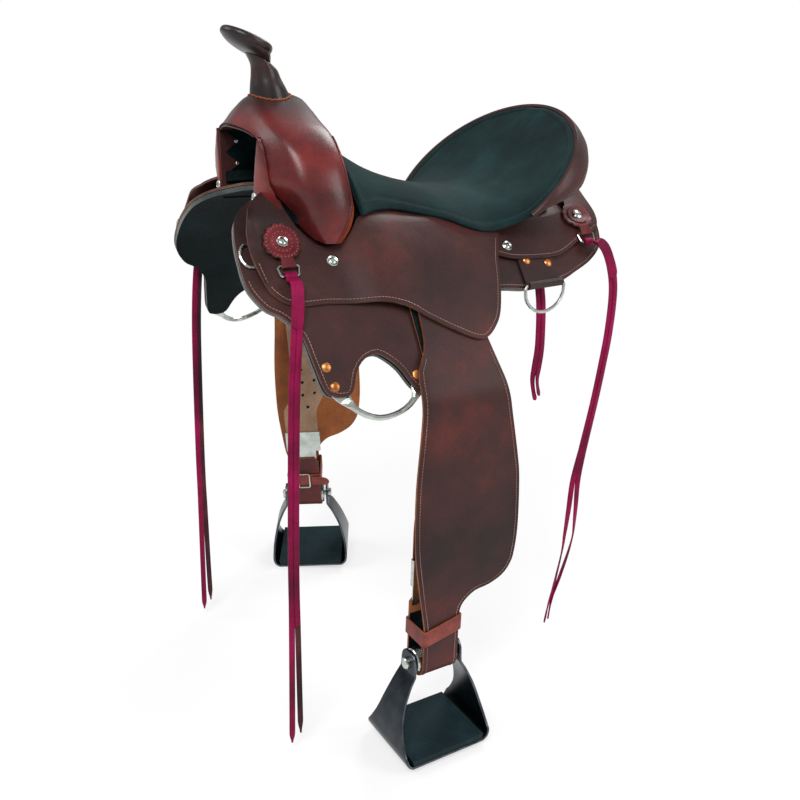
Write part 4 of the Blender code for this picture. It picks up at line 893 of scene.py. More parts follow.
def gridNormals(grid, inwards):
    rows = len(grid)
    columns = len(grid[0])
    normals = []
    for i in range(rows):
        row = []
        for j in range(columns):
            along = grid[min(i + 1, rows - 1)][j] - grid[max(i - 1, 0)][j]
            across = grid[i][min(j + 1, columns - 1)] - grid[i][max(j - 1, 0)]
            row.append(along.cross(across).normalized() * inwards)
        normals.append(row)
    return normals


def makeFork():
    outer = fineFork(forkGrid())
    normals = gridNormals(outer, 1.0)
    middle = len(outer) // 2
    if normals[middle][fork["frontColumns"] // 2].z > 0:
        normals = gridNormals(outer, -1.0)
    inner = [[p + n * layers["cover"] for p, n in zip(row, line)] for row, line in zip(outer, normals)]
    for row, shell in zip(inner, outer):
        along = (shell[-1] - shell[0]).normalized()
        row[0] = shell[0] + along * layers["cover"] * fork["edgeShare"]
        row[-1] = shell[-1] - along * layers["cover"] * fork["edgeShare"]
    bm = slab(outer, inner, 1)
    bm.faces.ensure_lookup_table()
    columns = len(outer[0]) - 1
    rows = len(outer) - 1
    crownStation = len(fork["stations"]) - 1
    for i in range(rows):
        if abs((i + 0.5) / fork["perStation"] - crownStation) > fork["bandFrom"]:
            for j in range(fork["frontColumns"], columns):
                bm.faces[i * columns + j].material_index = 2
    finishPiece("fork_cover_leather", bm, ["fork", "darkEdge", "band"], "saddle", "fork_cover", sharp=70.0)
    bm = bmesh.new()
    for word in sides:
        picked = [i for i in range(rows + 1)
                  if abs(i / fork["perStation"] - crownStation) >= fork["bandFrom"]
                  and (i < middle) == (word == "near")]
        for j, (radius, lift) in enumerate(fork["welts"], fork["frontColumns"]):
            tube(bm, [outer[i][j] - normals[i][j] * lift for i in picked], radius, 7)
    finishPiece("fork_welts", bm, ["fork"])
    return outer


def gulletPoint(shell, row, t, depth):
    low = min(len(shell) - 1, int(row))
    high = min(len(shell) - 1, low + 1)
    front = shell[low][0].lerp(shell[high][0], row - low)
    rear = shell[low][-1].lerp(shell[high][-1], row - low)
    inward = Vector((0.0, -front.y, 60.0 - front.z)).normalized()
    return front.lerp(rear, t) + inward * depth


def zigzagEnd(k, near, far):
    # the cut leather's length at step k of twelve to a point
    wave = abs(2.0 * ((k / 12.0) % 1.0) - 1.0)
    return near + (far - near) * (1.0 - wave) ** 1.2


def makeGullet(shell):
    middle = len(shell) // 2
    reach = fork["linerFoot"] * fork["perStation"]
    gap = layers["gap"]
    rows = [middle - reach + 2.0 * reach * k / 60 for k in range(61)]
    stops = [0.02 + 0.96 * k / 12 for k in range(13)]
    slabPiece("gullet_liner_leather", [[gulletPoint(shell, r, t, gap) for t in stops] for r in rows],
              [[gulletPoint(shell, r, t, gap + layers["liner"]) for t in stops] for r in rows], ["black"],
              "saddle", "gullet_liner")
    low, high = fork["zigzag"]
    fine = 12 * fork["zigzagPoints"]
    reach = fork["zigzagReach"] * fork["perStation"]
    rows = [middle - reach + 2.0 * reach * k / fine for k in range(fine + 1)]
    base = gap + layers["liner"] + 0.2
    top = base + fork["zigzagT"]
    tops = []
    bottoms = []
    for k, r in enumerate(rows):
        end = zigzagEnd(k, low, high)
        stops = [0.01 + (end - 0.01) * m / 8 for m in range(9)]
        tops.append([gulletPoint(shell, r, t, base) for t in stops])
        bottoms.append([gulletPoint(shell, r, t, top) for t in stops])
    slabPiece("gullet_points", tops, bottoms, ["band_brown", "darkEdge"])
    bm = bmesh.new()
    for r in rows[6::12]:
        at = gulletPoint(shell, r, fork["tackShare"], top)
        up = (gulletPoint(shell, r, fork["tackShare"], base + 10.0) - at).normalized()
        turned(bm, at, up, fork["tack"], 12)
    finishPiece("gullet_tacks", bm, ["steel"])


def wallRow(z, side):
    levels = [row[0] for row in fork["wall"]][::-1]
    inner, outer, front, back = (
        easedTable(tuple((h, row[k]) for h, row in zip(levels, fork["wall"][::-1])), z) for k in (1, 2, 3, 4))
    wall = [Vector((x, side * inner, z)) for x in (*fork["wallX"], front + 3.5)]
    face = [Vector((front + 1.0, side * (inner + 1.0), z)), Vector((front, side * (inner + 3.5), z))]
    for k in range(1, 9):
        t = k / 8
        y = inner + 3.5 + (outer - inner - 3.5) * t
        face.append(Vector((front + (back - front) * t * t, side * y, z)))
    return wall, face


def makeGulletWalls():
    topZ, drop, pointTopZ, pointDrop = fork["wallSpan"]
    near, far = fork["wallZigzag"]
    for word, side in sides.items():
        walls = []
        faces = []
        for k in range(25):
            wall, face = wallRow(topZ - drop * k / 24, side)
            walls.append(wall + face[:1])
            faces.append([wall[-1]] + face)
        shift = Vector((0.7, side, 0.0)) * fork["wallT"]
        for name, rows, finish in (("gullet_wall_", walls, "black"), ("fork_front_", faces, "fork")):
            slabPiece(name + word, rows, [[p + shift for p in row] for row in rows], [finish], sharp=60.0)
        tops = []
        tacks = []
        steps = 12 * fork["wallPoints"]
        for k in range(steps + 1):
            z = pointTopZ - pointDrop * k / steps
            wall, face = wallRow(z, side)
            start = face[1].x + 2.0
            reach = zigzagEnd(k, near, far)
            y = wall[0].y - side * 0.25
            tops.append([Vector((start + reach * m / 6, y, z)) for m in range(7)])
            if k % 12 == 6:
                tacks.append(Vector((start + far - 5.5, y - side * fork["zigzagT"], z)))
        slabPiece("gullet_zigzag_" + word, tops,
                  [[p - Vector((0.0, side * fork["zigzagT"], 0.0)) for p in row] for row in tops],
                  ["band_brown", "darkEdge"])
        bm = bmesh.new()
        for at in tacks:
            turned(bm, at, Vector((0.0, -side, 0.0)), fork["wallTack"], 12)
        x, y, z = fork["screwPlace"]
        turned(bm, Vector((x, side * y, z)), Vector((-1.0, 0.0, 0.1)), fork["screw"], 24)
        finishPiece("gullet_wall_tacks_" + word, bm, ["steel"])


def surfaceUnder(grid):
    columns = len(grid[0])
    faces = []
    for i in range(len(grid) - 1):
        for j in range(columns - 1):
            a = i * columns + j
            faces += [(a, a + 1, a + 1 + columns), (a, a + 1 + columns, a + columns)]
    tree = BVHTree.FromPolygons([p for row in grid for p in row], faces)
    return lambda x, y: tree.ray_cast(Vector((x, y, 400.0)), Vector((0.0, 0.0, -1.0)))[0].z


horn = {
    "cap": (-225, 0, 226), "tilt": 21.0, "length": 74.0, "width": 68.0, "thickness": 15.0,
    "capProfile": ((0.05, -1.0, 23), (0.5, -1.0, 23), (0.62, -0.95, 17.5), (0.75, -0.84, 11.5),
                   (0.86, -0.66, 6.5), (0.92, -0.45, 3), (0.93, -0.32, 1), (0.97, -0.26, 0.5), (1.0, 0.0, 0),
                   (0.97, 0.28, 0), (0.88, 0.42, 0), (0.77, 0.44, 0), (0.72, 0.36, 0), (0.68, 0.42, 0),
                   (0.45, 0.52, 0), (0.05, 0.56, 0)),
    "foot": (1.0, 10.0, 19.0, 27.0), "footGap": 1.1,
    "neck": ((-195, 168, 24.5, 3), (-198, 181, 20.5, 6), (-201, 193, 18.5, 11)), "top": 18.0, "sides": 40,
    "collar": 28.0, "collarWave": 0.8, "collarLift": 0.8, "collarT": 1.3,
}


def ellipse(centre, along, width, length):
    across = Vector((0.0, 1.0, 0.0))
    return [centre + along * (length * math.cos(a)) + across * (width * math.sin(a))
            for a in turns(horn["sides"])]


def makeHorn(shell):
    height = surfaceUnder(shell)
    tilt = math.radians(horn["tilt"])
    up = Vector((math.sin(tilt), 0, math.cos(tilt)))
    rear = Vector((math.cos(tilt), 0, -math.sin(tilt)))
    centre = Vector(horn["cap"])
    foot = Vector((horn["neck"][0][0] + 2, 0, 0))
    rings = []
    for radius in horn["foot"]:
        ring = ellipse(foot, Vector((1, 0, 0)), radius, radius)
        for point in ring:
            point.z = height(point.x, point.y) + horn["footGap"]
        rings.append(ring)
    necks = []
    for x, z, radius, lean in horn["neck"]:
        turn = math.radians(lean)
        necks.append(ellipse(Vector((x, 0, z)), Vector((math.cos(turn), 0, -math.sin(turn))), radius, radius))
    _, lowest, shift = horn["capProfile"][0]
    underCap = centre + up * (horn["thickness"] * lowest - layers["air"]) + rear * shift
    necks.append(ellipse(underCap, rear, horn["top"], horn["top"]))
    smooth = [smoothPath(lines, 5) for lines in zip(rings[-1], *necks)]
    rings += list(zip(*smooth))[1:]
    bm = bmesh.new()
    loft(bm, rings)
    finishPiece("horn_neck_leather", bm, ["horn"], "saddle", "horn_neck", sharp=60.0)
    bm = bmesh.new()
    loft(bm, [ellipse(centre + up * (lift * horn["thickness"]) + rear * shift, rear,
                      0.5 * horn["width"] * share, 0.5 * horn["length"] * share)
              for share, lift, shift in horn["capProfile"]])
    finishPiece("horn_cap_leather", bm, ["horn"], "saddle", "horn_cap", sharp=60.0, subdivide=1)
    ring = []
    for a in turns(96):
        radius = horn["collar"] + horn["collarWave"] * math.cos(24 * a)
        x = foot.x + radius * math.cos(a)
        y = radius * math.sin(a)
        ring.append(Vector((x, y, height(x, y) + horn["collarLift"])))
    bm = bmesh.new()
    tube(bm, ring, horn["collarT"], 6, closed=True)
    finishPiece("horn_collar_edge", bm, ["edge"])


shell = makeFork()
makeGullet(shell)
makeGulletWalls()
makeHorn(shell)
print("fork and horn made")


# Seat and cantle

seat = {
    "rimCentre": (168, 0, 39), "rimHeight": 150.5, "rimHalfWidth": 183.0, "rimLean": 45.3,
    "rows": (
        ((-121, 97), (-110, 124), 2.6), ((-95, 80), (-86, 112), 2.6), ((-60, 62), (-56, 105), 2.6),
        ((-18, 47), (-20, 115), 2.7), ((24, 37), (20, 138), 3.0), ((62, 30), (58, 157), 3.0),
        ((97, 27), (92, 163), 3.0), ((125, 26), 109, 2.4), ((150, 32), 98, 2.3), ((176, 44), 86, 2.2),
        ((201, 64), 70, 2.2), ((223, 87), 52, 2.2), ((243, 112), 34, 2.2), ((259, 132), 17, 2.2),
        ((271, 145), 5, 2.2),
    ),
    "thickness": 11.0, "edgeT": 5.0, "edgeGap": 2.0, "perRow": 5, "perHalf": 30,
    "rollWidth": 11.0, "rollHeight": 1.8, "grooveDepth": 1.2, "wrinkle": 0.5,
    "lip": ((4.0, -3.5), (-8.0, 0.5), (-17.0, 5.5), (-26.0, 11.0), (-33.0, 15.0)), "lipShare": 0.66,
    "lipT": 3.0, "stitchPitch": 4.2, "stitchReach": 1.4, "stitchRadius": 0.5,
}
band = {"depth": 38.0, "t": 5.5, "reach": 106.6, "steps": 72, "seamRadius": 0.7}


def rimPoint(angle, outward=0.0, back=0.0):
    lean = math.radians(seat["rimLean"])
    a = math.radians(angle)
    up = Vector((math.cos(lean), 0, math.sin(lean)))
    behind = Vector((math.sin(lean), 0, -math.cos(lean)))
    normal = Vector((math.cos(a) / seat["rimHeight"], math.sin(a) / seat["rimHalfWidth"], 0)).normalized()
    point = Vector(seat["rimCentre"]) + up * (seat["rimHeight"] * math.cos(a))
    point += Vector((0, seat["rimHalfWidth"] * math.sin(a), 0))
    return point + (up * normal.x + Vector((0, normal.y, 0))) * outward + behind * back


def makeSeatLip():
    # the seat leather carries on under the rear edge of the fork
    x, z, power, ex, ey, ez = seatRow(seat["rows"][0])[:6]
    top = []
    for dx, dz in seat["lip"]:
        line = []
        for k in range(-12, 13):
            t = k / 12 * seat["lipShare"]
            line.append(Vector((x + dx + (ex - x) * t * t, ey * t, z + dz + (ez - z) * abs(t) ** power)))
        top.append(line)
    slabPiece("seat_front_lip", top, [[p - Vector((0.0, 0.0, seat["lipT"])) for p in line] for line in top],
              ["suede"], sharp=60.0)


def seatRow(row):
    (x, z), edge, power = row
    if isinstance(edge, tuple):
        ex, es = edge
        top = onSide(ex, es, jockeyTop(ex, es) + layers["gap"] + seat["edgeT"], 1)
        low = onSide(ex, es, jockeyTop(ex, es) + seat["edgeGap"], 1)
    else:
        top = rimPoint(edge)
        low = rimPoint(edge, 0.0, seat["edgeT"])
    return (x, z, power, *top, *low)


def makeSeat():
    rows = curveThrough([seatRow(row) for row in seat["rows"]], seat["perRow"])
    half = seat["perHalf"]
    shares = [1.0 - (1.0 - k / half) ** 1.35 for k in range(half + 1)]
    grid = []
    lows = []
    for x, z, power, ex, ey, ez, lx, ly, lz in rows:
        line = [Vector((x + (ex - x) * t * t, ey * t, z + (ez - z) * t ** power)) for t in shares]
        grid.append(mirrored(line[:0:-1]) + line)
        lows.append((Vector((lx, ly, lz)), ey))
    normals = gridNormals(grid, 1.0)
    if normals[len(grid) // 3][half].z < 0:
        normals = gridNormals(grid, -1.0)
    top = []
    bottom = []
    stitchLines = {"near": [], "off": []}
    lastRow = len(grid) - 1
    for i, line in enumerate(grid):
        low, edgeY = lows[i]
        upper = []
        lower = []
        for j, point in enumerate(line):
            t = shares[abs(j - half)]
            fromEdge = min((1.0 - t) * edgeY, 6.0 * i + 1.0, (lastRow - i) * 3.5 + 0.5)
            roll = seat["rollHeight"] * math.sin(math.pi * min(1.0, fromEdge / seat["rollWidth"]))
            groove = math.exp(-((fromEdge - seat["rollWidth"] - 1.0) / 1.6) ** 2)
            crumple = seat["wrinkle"] * noise.noise(point * 0.03) * min(1.0, fromEdge / 20.0)
            height = roll - seat["grooveDepth"] * groove + crumple
            upper.append(point + normals[i][j] * height)
            thick = seat["thickness"] + (seat["edgeT"] - seat["thickness"]) * t ** 3
            lower.append(point - normals[i][j] * thick)
        lower[0] = Vector((low.x, -low.y, low.z))
        lower[-1] = low.copy()
        top.append(upper)
        bottom.append(lower)
        inset = max(0.0, 1.0 - (seat["rollWidth"] - 2.5) / edgeY)
        k = min(range(len(shares)), key=lambda q: abs(shares[q] - inset))
        stitchLines["off"].append(upper[half + k] + normals[i][half + k] * 0.1)
        stitchLines["near"].append(upper[half - k] + normals[i][half - k] * 0.1)
    cushion = slabPiece("seat_suede", top, bottom, ["suede"], "saddle", "seat_cushion", sharp=70.0, bevel=1.2)
    bm = bmesh.new()
    for line in stitchLines.values():
        dense = smoothPath(line, 6)
        travelled = 0.0
        for a, b in zip(dense, dense[1:]):
            travelled += (b - a).length
            if travelled > seat["stitchPitch"]:
                reach = (b - a).normalized() * seat["stitchReach"]
                tube(bm, [a - reach, a, a + reach], seat["stitchRadius"], 5)
                travelled = 0.0
    finishPiece("seat_stitching", bm, ["darkThread"])


def makeBand():
    top = []
    bottom = []
    seam = []
    base = layers["air"] + layers["gap"]
    for k in range(band["steps"] + 1):
        angle = -band["reach"] + 2.0 * band["reach"] * k / band["steps"]
        depth = band["depth"] * (1.0 - 0.85 * smoothstep((abs(angle) - 70.0) / 38.0))
        stops = [-1.0 + (depth + 1.0) * m / 14 for m in range(15)]
        line = []
        for stop in stops:
            share = (stop + 1.0) / (depth + 1.0)
            bulge = 2.6 * math.sin(math.pi * min(1.0, share * 1.08)) - 1.6 * smoothstep((share - 0.85) / 0.15)
            bulge -= 0.9 * math.exp(-((share - 0.8) / 0.025) ** 2)
            line.append(rimPoint(angle, base + band["t"] + bulge, stop))
        top.append(line)
        bottom.append([rimPoint(angle, base, stop) for stop in stops])
        seam.append(rimPoint(angle, base + band["t"] + 1.0, 0.8 * (depth + 1.0) - 1.0))
    slabPiece("cantle_band_leather", top, bottom, ["band_brown"], "saddle", "cantle_band", sharp=60.0,
              bevel=1.2)
    bm = bmesh.new()
    tube(bm, seam, band["seamRadius"], 6)
    finishPiece("cantle_band_seam", bm, ["darkEdge"])


makeSeat()
makeSeatLip()
makeBand()
print("seat made")


# Legs

leg = {
    "pivotX": -46.0, "pivotS": 160.0, "axisAngle": 50.5, "bendS": 410.0, "bendDrop": 237.0,
    "straightS": 605.0, "boltDrop": 633.0, "tongueX": -50.0, "tongueWidth": 60.0, "tongueEndW": 98.0,
    "twistTop": -526.0, "twistEnd": -569.0, "rollerR": 19.0, "rollerGap": 0.5, "strapEndW": 125.0,
    "strapTwist": (-388.0, -432.0), "leatherWidth": 63.0, "spacing": 9.0, "holePitch": 25.0,
    "holes": 8, "firstHole": 90.0, "holeShift": 12.0, "hole": ((3.0, 0.0), (2.9, 0.15), (0.05, 0.16)),
    "stitchInset": 5.5,
}
legSides = {
    "near": {"side": -1, "swing": 0.0, "hang": 89.0, "twist": 1.0},
    "off": {"side": 1, "swing": 5.8, "hang": 83.0, "twist": 26.0},
}
fender = {
    # painted shade: below this height the flesh side is coloured black
    "darkBelow": -565.0,
    "front": ((-55, 190, 0), (-66, 250), (-72, 311), (-84, 337), (-93, 360), (-97, 441), (-101, 520),
              (-99, 607), (-91, 671), (-84, 715), (-81, 735)),
    "rear": ((-20, 734), (-19, 722), (-12, 710), (6, 698), (30, 694), (54, 684), (68, 668), (74, 648),
             (77, 603), (73, 528), (66, 486), (50, 414), (38, 357), (30, 314), (22, 262), (14, 190, 0)),
    "tongueStart": 745.0, "edgeSpacing": 7.0, "stitchFrom": 330.0,
    "linesFrom": 196.0, "linesTo": ((360.0, 9.0), (420.0, 4.0), (680.0, 10.0)),
}


def fenderBottom():
    return layers["legSpace"] + layers["stirrupLeather"] + layers["gap"]


def loopRadius():
    return leg["rollerR"] + leg["rollerGap"] - fenderBottom()


def boltS():
    return leg["bendS"] + leg["boltDrop"] - leg["bendDrop"]


def fenderSlopes(hang):
    turn = math.pi * loopRadius()
    free = surface["freeS"]
    return (*surface["slopes"][:-1], (free, table(surface["slopes"], free)), (leg["bendS"], hang),
            (boltS(), hang), (boltS() + turn, hang + 180.0), (2000, hang + 180.0))


def strapSlopes(hang, lean):
    free = surface["freeS"]
    bend = leg["bendS"]
    return (*surface["slopes"][:-1], (free, table(surface["slopes"], free)), (bend, hang + 0.3 * lean),
            (bend + 35.0, hang + lean), (bend + 165.0, hang + lean), (leg["straightS"], hang), (2000, hang))


def completeLeg(values):
    hang = math.radians(values["hang"])
    angle = math.radians(leg["axisAngle"])
    values["out"] = Vector((0.0, -math.sin(hang), math.cos(hang)))
    values["up"] = Vector((0.0, math.cos(hang), math.sin(hang)))
    values["centre"] = onProfile(leg["tongueX"], boltS(), -loopRadius(), fenderSlopes(values["hang"]))
    axis = Vector((0.0, -math.sin(angle), math.cos(angle)))
    values["turn"] = Matrix.Rotation(math.radians(values["swing"]), 3, axis)
    values["pivot"] = onProfile(leg["pivotX"], leg["pivotS"], fenderBottom(), surface["slopes"])
    # the strap leans in until its free end hangs just inside the roller
    wanted = -(leg["rollerR"] + leg["rollerGap"] + layers["stirrupLeather"])
    low = 0.0
    high = 25.0
    for _ in range(18):
        lean = 0.5 * (low + high)
        slopes = strapSlopes(values["hang"], lean)
        end = onProfile(leg["pivotX"], leg["straightS"], layers["legSpace"], slopes) - values["centre"]
        if end.dot(values["out"]) > wanted:
            low = lean
        else:
            high = lean
    values["lean"] = lean
    values["strapEnd"] = leg["straightS"] + end.dot(values["up"]) - leg["strapEndW"]


def placeOnLeg(values, point, twisted):
    around = Matrix.Rotation(math.radians(values["twist"]) * twisted, 3, "Z")
    flat = Vector((values["centre"].x, values["centre"].y, point.z))
    point = flat + around @ (point - flat)
    point = values["pivot"] + values["turn"] @ (point - values["pivot"])
    return Vector((point.x, -values["side"] * point.y, point.z))


def stirrupPoint(values, u, v, w):
    point = values["centre"] + Vector((u, 0.0, 0.0)) + values["out"] * v + values["up"] * w
    return placeOnLeg(values, point, 1.0)


def fenderPlace(values, x, s, d):
    point = onProfile(x, s, d, fenderSlopes(values["hang"]))
    twisted = smoothstep((leg["twistTop"] - point.z) / (leg["twistTop"] - leg["twistEnd"]))
    return placeOnLeg(values, point, 1.0 if s > boltS() else twisted)


def strapPlace(values, x, s, d):
    point = onProfile(x, s, d, strapSlopes(values["hang"], values["lean"]))
    top, end = leg["strapTwist"]
    return placeOnLeg(values, point, smoothstep((top - point.z) / (top - end)))


def spacedLines(start, end, spacing):
    count = max(1, round((end - start) / spacing))
    return [start + (end - start) * k / count for k in range(count)]


def makeFender(word, values):
    left = leg["tongueX"] - 0.5 * leg["tongueWidth"]
    right = leg["tongueX"] + 0.5 * leg["tongueWidth"]
    turn = math.pi * loopRadius()
    end = boltS() + turn + leg["tongueEndW"]
    corners = ((left, fender["tongueStart"], 0), (left, end - 8, 0), (left + 8, end, 0), (right - 8, end, 0),
               (right, end - 8, 0), (right, fender["tongueStart"], 0))
    outline = patternOutline(fender["front"] + corners + fender["rear"], fender["edgeSpacing"])
    stops = (*fender["linesTo"], (boltS() - 8.0, 5.0), (boltS() + turn + 8.0, 3.0), (end - 1.0, 9.0))
    lines = []
    start = fender["linesFrom"]
    for stop, spacing in stops:
        lines += spacedLines(start, stop, spacing)
        start = stop
    bottom = fenderBottom()
    top = bottom + layers["fender"]
    made = sheetFromPattern(
        "fender_" + word + "_leather", outline, leg["spacing"],
        lambda x, s: fenderPlace(values, x, s, bottom), lambda x, s: fenderPlace(values, x, s, top),
        ["brown", "edge", "flesh"], "leg_" + word, 0.9, lines, "fender_" + word)
    made.data.materials.append(materials["black"])
    for face in made.data.polygons:  # painted shade: inside the stirrup's loop the flesh side is coloured black
        if face.material_index == 2 and face.center.z < fender["darkBelow"] * mm:
            face.material_index = 3
    bm = bmesh.new()
    run = [p for p in insetOutline(outline, leg["stitchInset"])
           if fender["stitchFrom"] < p.y < boltS() + turn * 0.9]
    split = next((i for i in range(1, len(run)) if (run[i] - run[i - 1]).length > 30.0), len(run))
    for part in (run[:split], run[split:]):
        if len(part) > 2:
            stitches(bm, part, lambda x, s, h: fenderPlace(values, x, s, top + h))
    finishPiece("fender_stitching_" + word, bm, ["thread"], "leg_" + word)


def makeStirrupLeather(word, values):
    radius = 0.5 * leg["leatherWidth"]
    middle = leg["pivotX"]
    end = values["strapEnd"]
    outline = [Vector((middle - radius, end)), Vector((middle + radius, end))]
    outline += [Vector((middle + radius, end + (leg["pivotS"] - end) * k / 50)) for k in range(1, 50)]
    for k in range(17):
        a = math.pi * k / 16
        outline.append(Vector((middle + radius * math.cos(a), leg["pivotS"] - radius * math.sin(a))))
    outline += [Vector((middle - radius, leg["pivotS"] + (end - leg["pivotS"]) * k / 50))
                for k in range(1, 50)]
    bottom = layers["legSpace"]
    top = bottom + layers["stirrupLeather"]
    sheetFromPattern(
        "stirrup_leather_" + word + "_strap", outline, 8.0, lambda x, s: strapPlace(values, x, s, bottom),
        lambda x, s: strapPlace(values, x, s, top), ["black", "edge", "beige"], "leg_" + word, 0.7,
        replaced="stirrup_leather_" + word)
    bm = bmesh.new()
    for k in range(leg["holes"]):
        s = end - leg["firstHole"] - k * leg["holePitch"]
        for shift in (-leg["holeShift"], leg["holeShift"]):
            at = strapPlace(values, middle + shift, s, bottom - 0.25)
            up = (strapPlace(values, middle + shift, s, bottom - 5.0) - at).normalized()
            turned(bm, at, up, leg["hole"], 12)
    finishPiece("strap_holes_" + word, bm, ["black"], "leg_" + word)


hobble = {"w": (37.0, 62.0), "t": 3.0, "clearance": 0.8, "corner": 2.0, "tailWidth": 17.0, "tailLength": 34.0,
          "tailStart": 16.0, "tailT": 2.2, "tilt": 14.0}


def roundedBox(halfU, halfV, corner):
    points = []
    for quarter, (signU, signV) in enumerate(((1, 1), (-1, 1), (-1, -1), (1, -1))):
        for k in range(7):
            a = math.radians(90.0 * (quarter + k / 6))
            points.append((signU * (halfU - corner) + corner * math.cos(a),
                           signV * (halfV - corner) + corner * math.sin(a)))
    return points


def makeHobble(word, values):
    halfU = 0.5 * leg["tongueWidth"] + hobble["clearance"]
    halfV = leg["rollerR"] + leg["rollerGap"] + layers["fender"] + hobble["clearance"]
    grow = hobble["t"]
    low, high = hobble["w"]
    inside = roundedBox(halfU, halfV, hobble["corner"])
    outside = roundedBox(halfU + grow, halfV + grow, hobble["corner"] + grow)
    bm = bmesh.new()
    rings = []
    for (u0, v0), (u1, v1) in zip(inside, outside):
        lift = hobble["tilt"] * (0.5 + 0.5 * u0 / halfU) * smoothstep(0.5 + 0.5 * v0 / halfV)
        corners = ((u0, v0, low + lift), (u0, v0, high + lift), (u1, v1, high + lift), (u1, v1, low + lift))
        rings.append([bm.verts.new(stirrupPoint(values, *corner) * mm) for corner in corners])
    gridFaces(bm, rings, True, True)
    bm.faces.ensure_lookup_table()
    for i, face in enumerate(bm.faces):
        face.material_index = i % 2
    finishPiece("hobble_strap_" + word + "_leather", bm, ["hobble", "edge"], "leg_" + word,
                "hobble_strap_" + word, sharp=50.0, bevel=0.6)
    middle = 0.5 * (low + high)
    face = -(halfV + grow + 0.4)
    half = 0.5 * hobble["tailWidth"]
    tops = []
    lows = []
    for k in range(17):
        u = hobble["tailStart"] + hobble["tailLength"] * k / 16
        narrow = half * math.sqrt(max(0.02, 1.0 - max(0.0, (k - 11) / 5.0) ** 2))
        out = face - 1.0 - 4.0 * smoothstep((k - 6) / 10.0)
        for rows, v in ((tops, out), (lows, out - hobble["tailT"])):
            rows.append([stirrupPoint(values, u, v, middle + narrow * m / 4) for m in range(-4, 5)])
    slabPiece("hobble_tail_" + word, tops, lows, ["hobble", "edge"], "leg_" + word)


stirrup = {
    "plate": 4.0, "earU": 41.0, "treadHalfLength": 64.0, "treadHalfWidth": 58.0, "treadT": 9.0,
    "floorW": -142.0, "ribs": 15, "ribHeight": 0.5,
}


def stirrupHalfPath():
    ear = stirrup["earU"]
    return ((-ear, 20, 8), (-ear, 16, 13), (-ear, 8, 17), (-ear, -11, 19), (-ear - 1, -17, 20),
            (-51, -33, 22), (-63, -61, 27), (-71, -92, 36), (-74, -116, 49), (-74, -127, 57), (-71, -136, 59),
            (-64, -142, 59))


def makeStirrup(word, values):
    half = curveThrough(stirrupHalfPath(), 4)
    path = list(half) + [(-u, w, wide) for u, w, wide in reversed(half)]
    outer = []
    inner = []
    for i, (u, w, wide) in enumerate(path):
        before = Vector(path[max(0, i - 1)][:2])
        after = Vector(path[min(len(path) - 1, i + 1)][:2])
        along = (after - before).normalized()
        across = Vector((-along.y, along.x)) * 0.5 * stirrup["plate"]
        stops = [wide * (m / 8 - 1.0) for m in range(17)]
        outer.append([stirrupPoint(values, u - across.x, v, w - across.y) for v in stops])
        inner.append([stirrupPoint(values, u + across.x, v, w + across.y) for v in stops])
    slabPiece("stirrup_frame_" + word + "_steel", outer, inner, ["stirrup", "steelEdge"], "stirrup_" + word,
              "stirrup_frame_" + word, sharp=50.0, bevel=0.8)
    floor = stirrup["floorW"] + 0.5 * stirrup["plate"] + layers["air"]
    top = floor + stirrup["treadT"]
    end = stirrup["treadHalfLength"]
    wide = stirrup["treadHalfWidth"]
    last = 4 * stirrup["ribs"]
    tops = []
    lows = []
    for i in range(last + 1):
        v = -wide + 2.0 * wide * i / last
        upper = []
        lower = []
        for j in range(last + 1):
            u = -end + 2.0 * end * j / last
            inside = 4 <= i <= last - 4 and 4 <= j <= last - 4
            pit = stirrup["ribHeight"] if inside and i % 4 in (1, 2) and j % 4 in (1, 2) else 0.0
            upper.append(stirrupPoint(values, u, v, top - 0.2 - pit))
            lower.append(stirrupPoint(values, u * 0.97, v, floor))
        tops.append(upper)
        lows.append(lower)
    slabPiece("stirrup_tread_" + word + "_rubber", tops, lows, ["rubber"], "stirrup_" + word,
              "stirrup_tread_" + word, sharp=35.0)


for word, values in legSides.items():
    completeLeg(values)
    makeFender(word, values)
    makeStirrupLeather(word, values)
    makeHobble(word, values)
    makeStirrup(word, values)
print("legs made")


# Rosettes and small fittings

rosette = {
    "places": {"front": (-233.0, 148.0), "rear": (260.0, 148.0)}, "radius": 25.0, "scallops": 14,
    "tongue": 36.0, "lift": 4.3, "innerRadius": 17.0, "innerT": 1.4, "dotRings": ((28, 21.5), (16, 13.5)),
    "dot": ((0.8, -0.2), (0.7, 0.25), (0.05, 0.35)),
}
fittings = {
    "screw": ((8.0, -0.4), (8.0, 1.2), (7.0, 2.0), (5.9, 1.5), (5.2, 1.1), (4.3, 1.8), (3.2, 2.3), (1.4, 2.4),
              (0.9, 1.7), (0.05, 1.6)),
    "rivet": ((6.6, -0.4), (6.6, 0.5), (5.6, 1.5), (3.2, 2.2), (0.05, 2.4)),
    "tack": ((2.8, -0.3), (2.6, 0.5), (1.6, 1.1), (0.05, 1.3)),
    # the leg's strap passes over the flat rivet
    "flatRivet": ((6.6, -0.4), (6.6, 0.3), (5.6, 0.7), (3.2, 0.95), (0.05, 1.0)),
}
fittings["steelPlaces"] = (
    (-169.0, 179.0, "screw", jockeyTop), (112.0, 183.0, "screw", rearJockeyTop),
    (-233.5, 83.0, "tack", jockeyTop),
)
fittings["copperPlaces"] = (
    (141.0, 207.0, "rivet", strapTop), (178.0, 215.0, "rivet", strapTop), (-210.0, 318.0, "rivet", skirtTop),
    (-204.0, 345.0, "rivet", skirtTop), (-90.0, 351.0, "flatRivet", skirtTop),
)


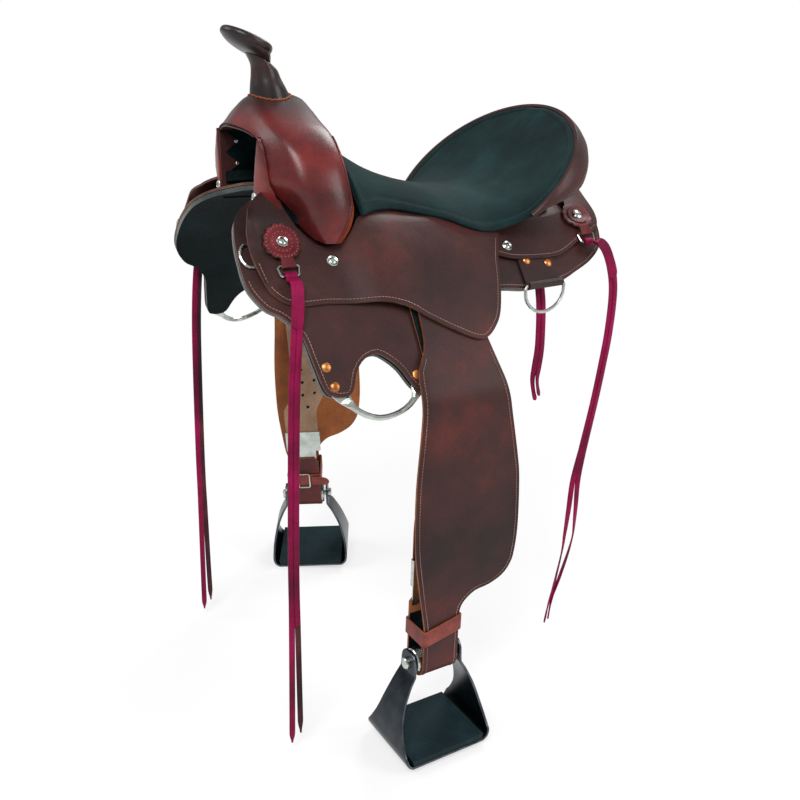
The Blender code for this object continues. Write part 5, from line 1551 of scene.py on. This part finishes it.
def sideNormal(x, s, side):
    along = onSide(x + 4.0, s, 0.0, side) - onSide(x - 4.0, s, 0.0, side)
    down = onSide(x, s + 4.0, 0.0, side) - onSide(x, s - 4.0, 0.0, side)
    normal = along.cross(down).normalized()
    outward = onSide(x, s, 10.0, side) - onSide(x, s, 0.0, side)
    return normal if normal.dot(outward) > 0 else -normal


def makeRosette(end, word, side):
    x0, s0 = rosette["places"][end]
    under = jockeyTop if end == "front" else rearJockeyTop
    name = end + "_rosette_" + word

    def place(x, s, level):
        rise = rosette["lift"] * smoothstep((s - s0 - 2.0) / 18.0)
        return onSide(x, s, under(x, s) + layers["gap"] + rise + level, side)

    def around(a, radius):
        return Vector((x0 + radius * math.cos(a), s0 + radius * math.sin(a)))

    outline = []
    for a in turns(112):
        radius = rosette["radius"] * (0.92 + 0.08 * abs(math.cos(0.5 * rosette["scallops"] * a)))
        if abs(a - 0.5 * math.pi) < 0.3:
            radius = rosette["tongue"] / math.sin(a)
        outline.append(around(a, radius))
    top = layers["rosette"]
    sheetFromPattern(name + "_leather", outline, 5.0, lambda x, s: place(x, s, 0.0),
                     lambda x, s: place(x, s, top), ["rosette", "darkEdge"], bevel=0.8, replaced=name)
    inner = [around(a, rosette["innerRadius"] * (0.94 + 0.06 * abs(math.cos(6.0 * a)))) for a in turns(60)]
    high = top + rosette["innerT"]
    sheetFromPattern(name + "_layer", inner, 5.0, lambda x, s: place(x, s, top - 0.2),
                     lambda x, s: place(x, s, high), ["rosette", "darkEdge"], bevel=0.5)
    bm = bmesh.new()
    # painted highlight: the stamped dots get the light thread colour
    for (count, radius), level in zip(rosette["dotRings"], (top, high)):
        for a in turns(count, 0.5):
            x, s = around(a, radius)
            turned(bm, place(x, s, level), sideNormal(x, s, side), rosette["dot"], 8)
    finishPiece(name + "_stamping", bm, ["thread"])
    bm = bmesh.new()
    turned(bm, place(x0, s0, high - 0.1), sideNormal(x0, s0, side), fittings["screw"], 28)
    finishPiece(name + "_screw", bm, ["steel"])


def makeFittings(name, finish, places, side):
    bm = bmesh.new()
    for x, s, kind, level in places:
        turned(bm, onSide(x, s, level(x, s), side), sideNormal(x, s, side), fittings[kind], 24)
    finishPiece(name, bm, [finish])


for word, side in sides.items():
    for end in ("front", "rear"):
        makeRosette(end, word, side)
    makeFittings("screws_" + word, "steel", fittings["steelPlaces"], side)
    makeFittings("copper_rivets_" + word, "copper", fittings["copperPlaces"], side)
print("fittings made")
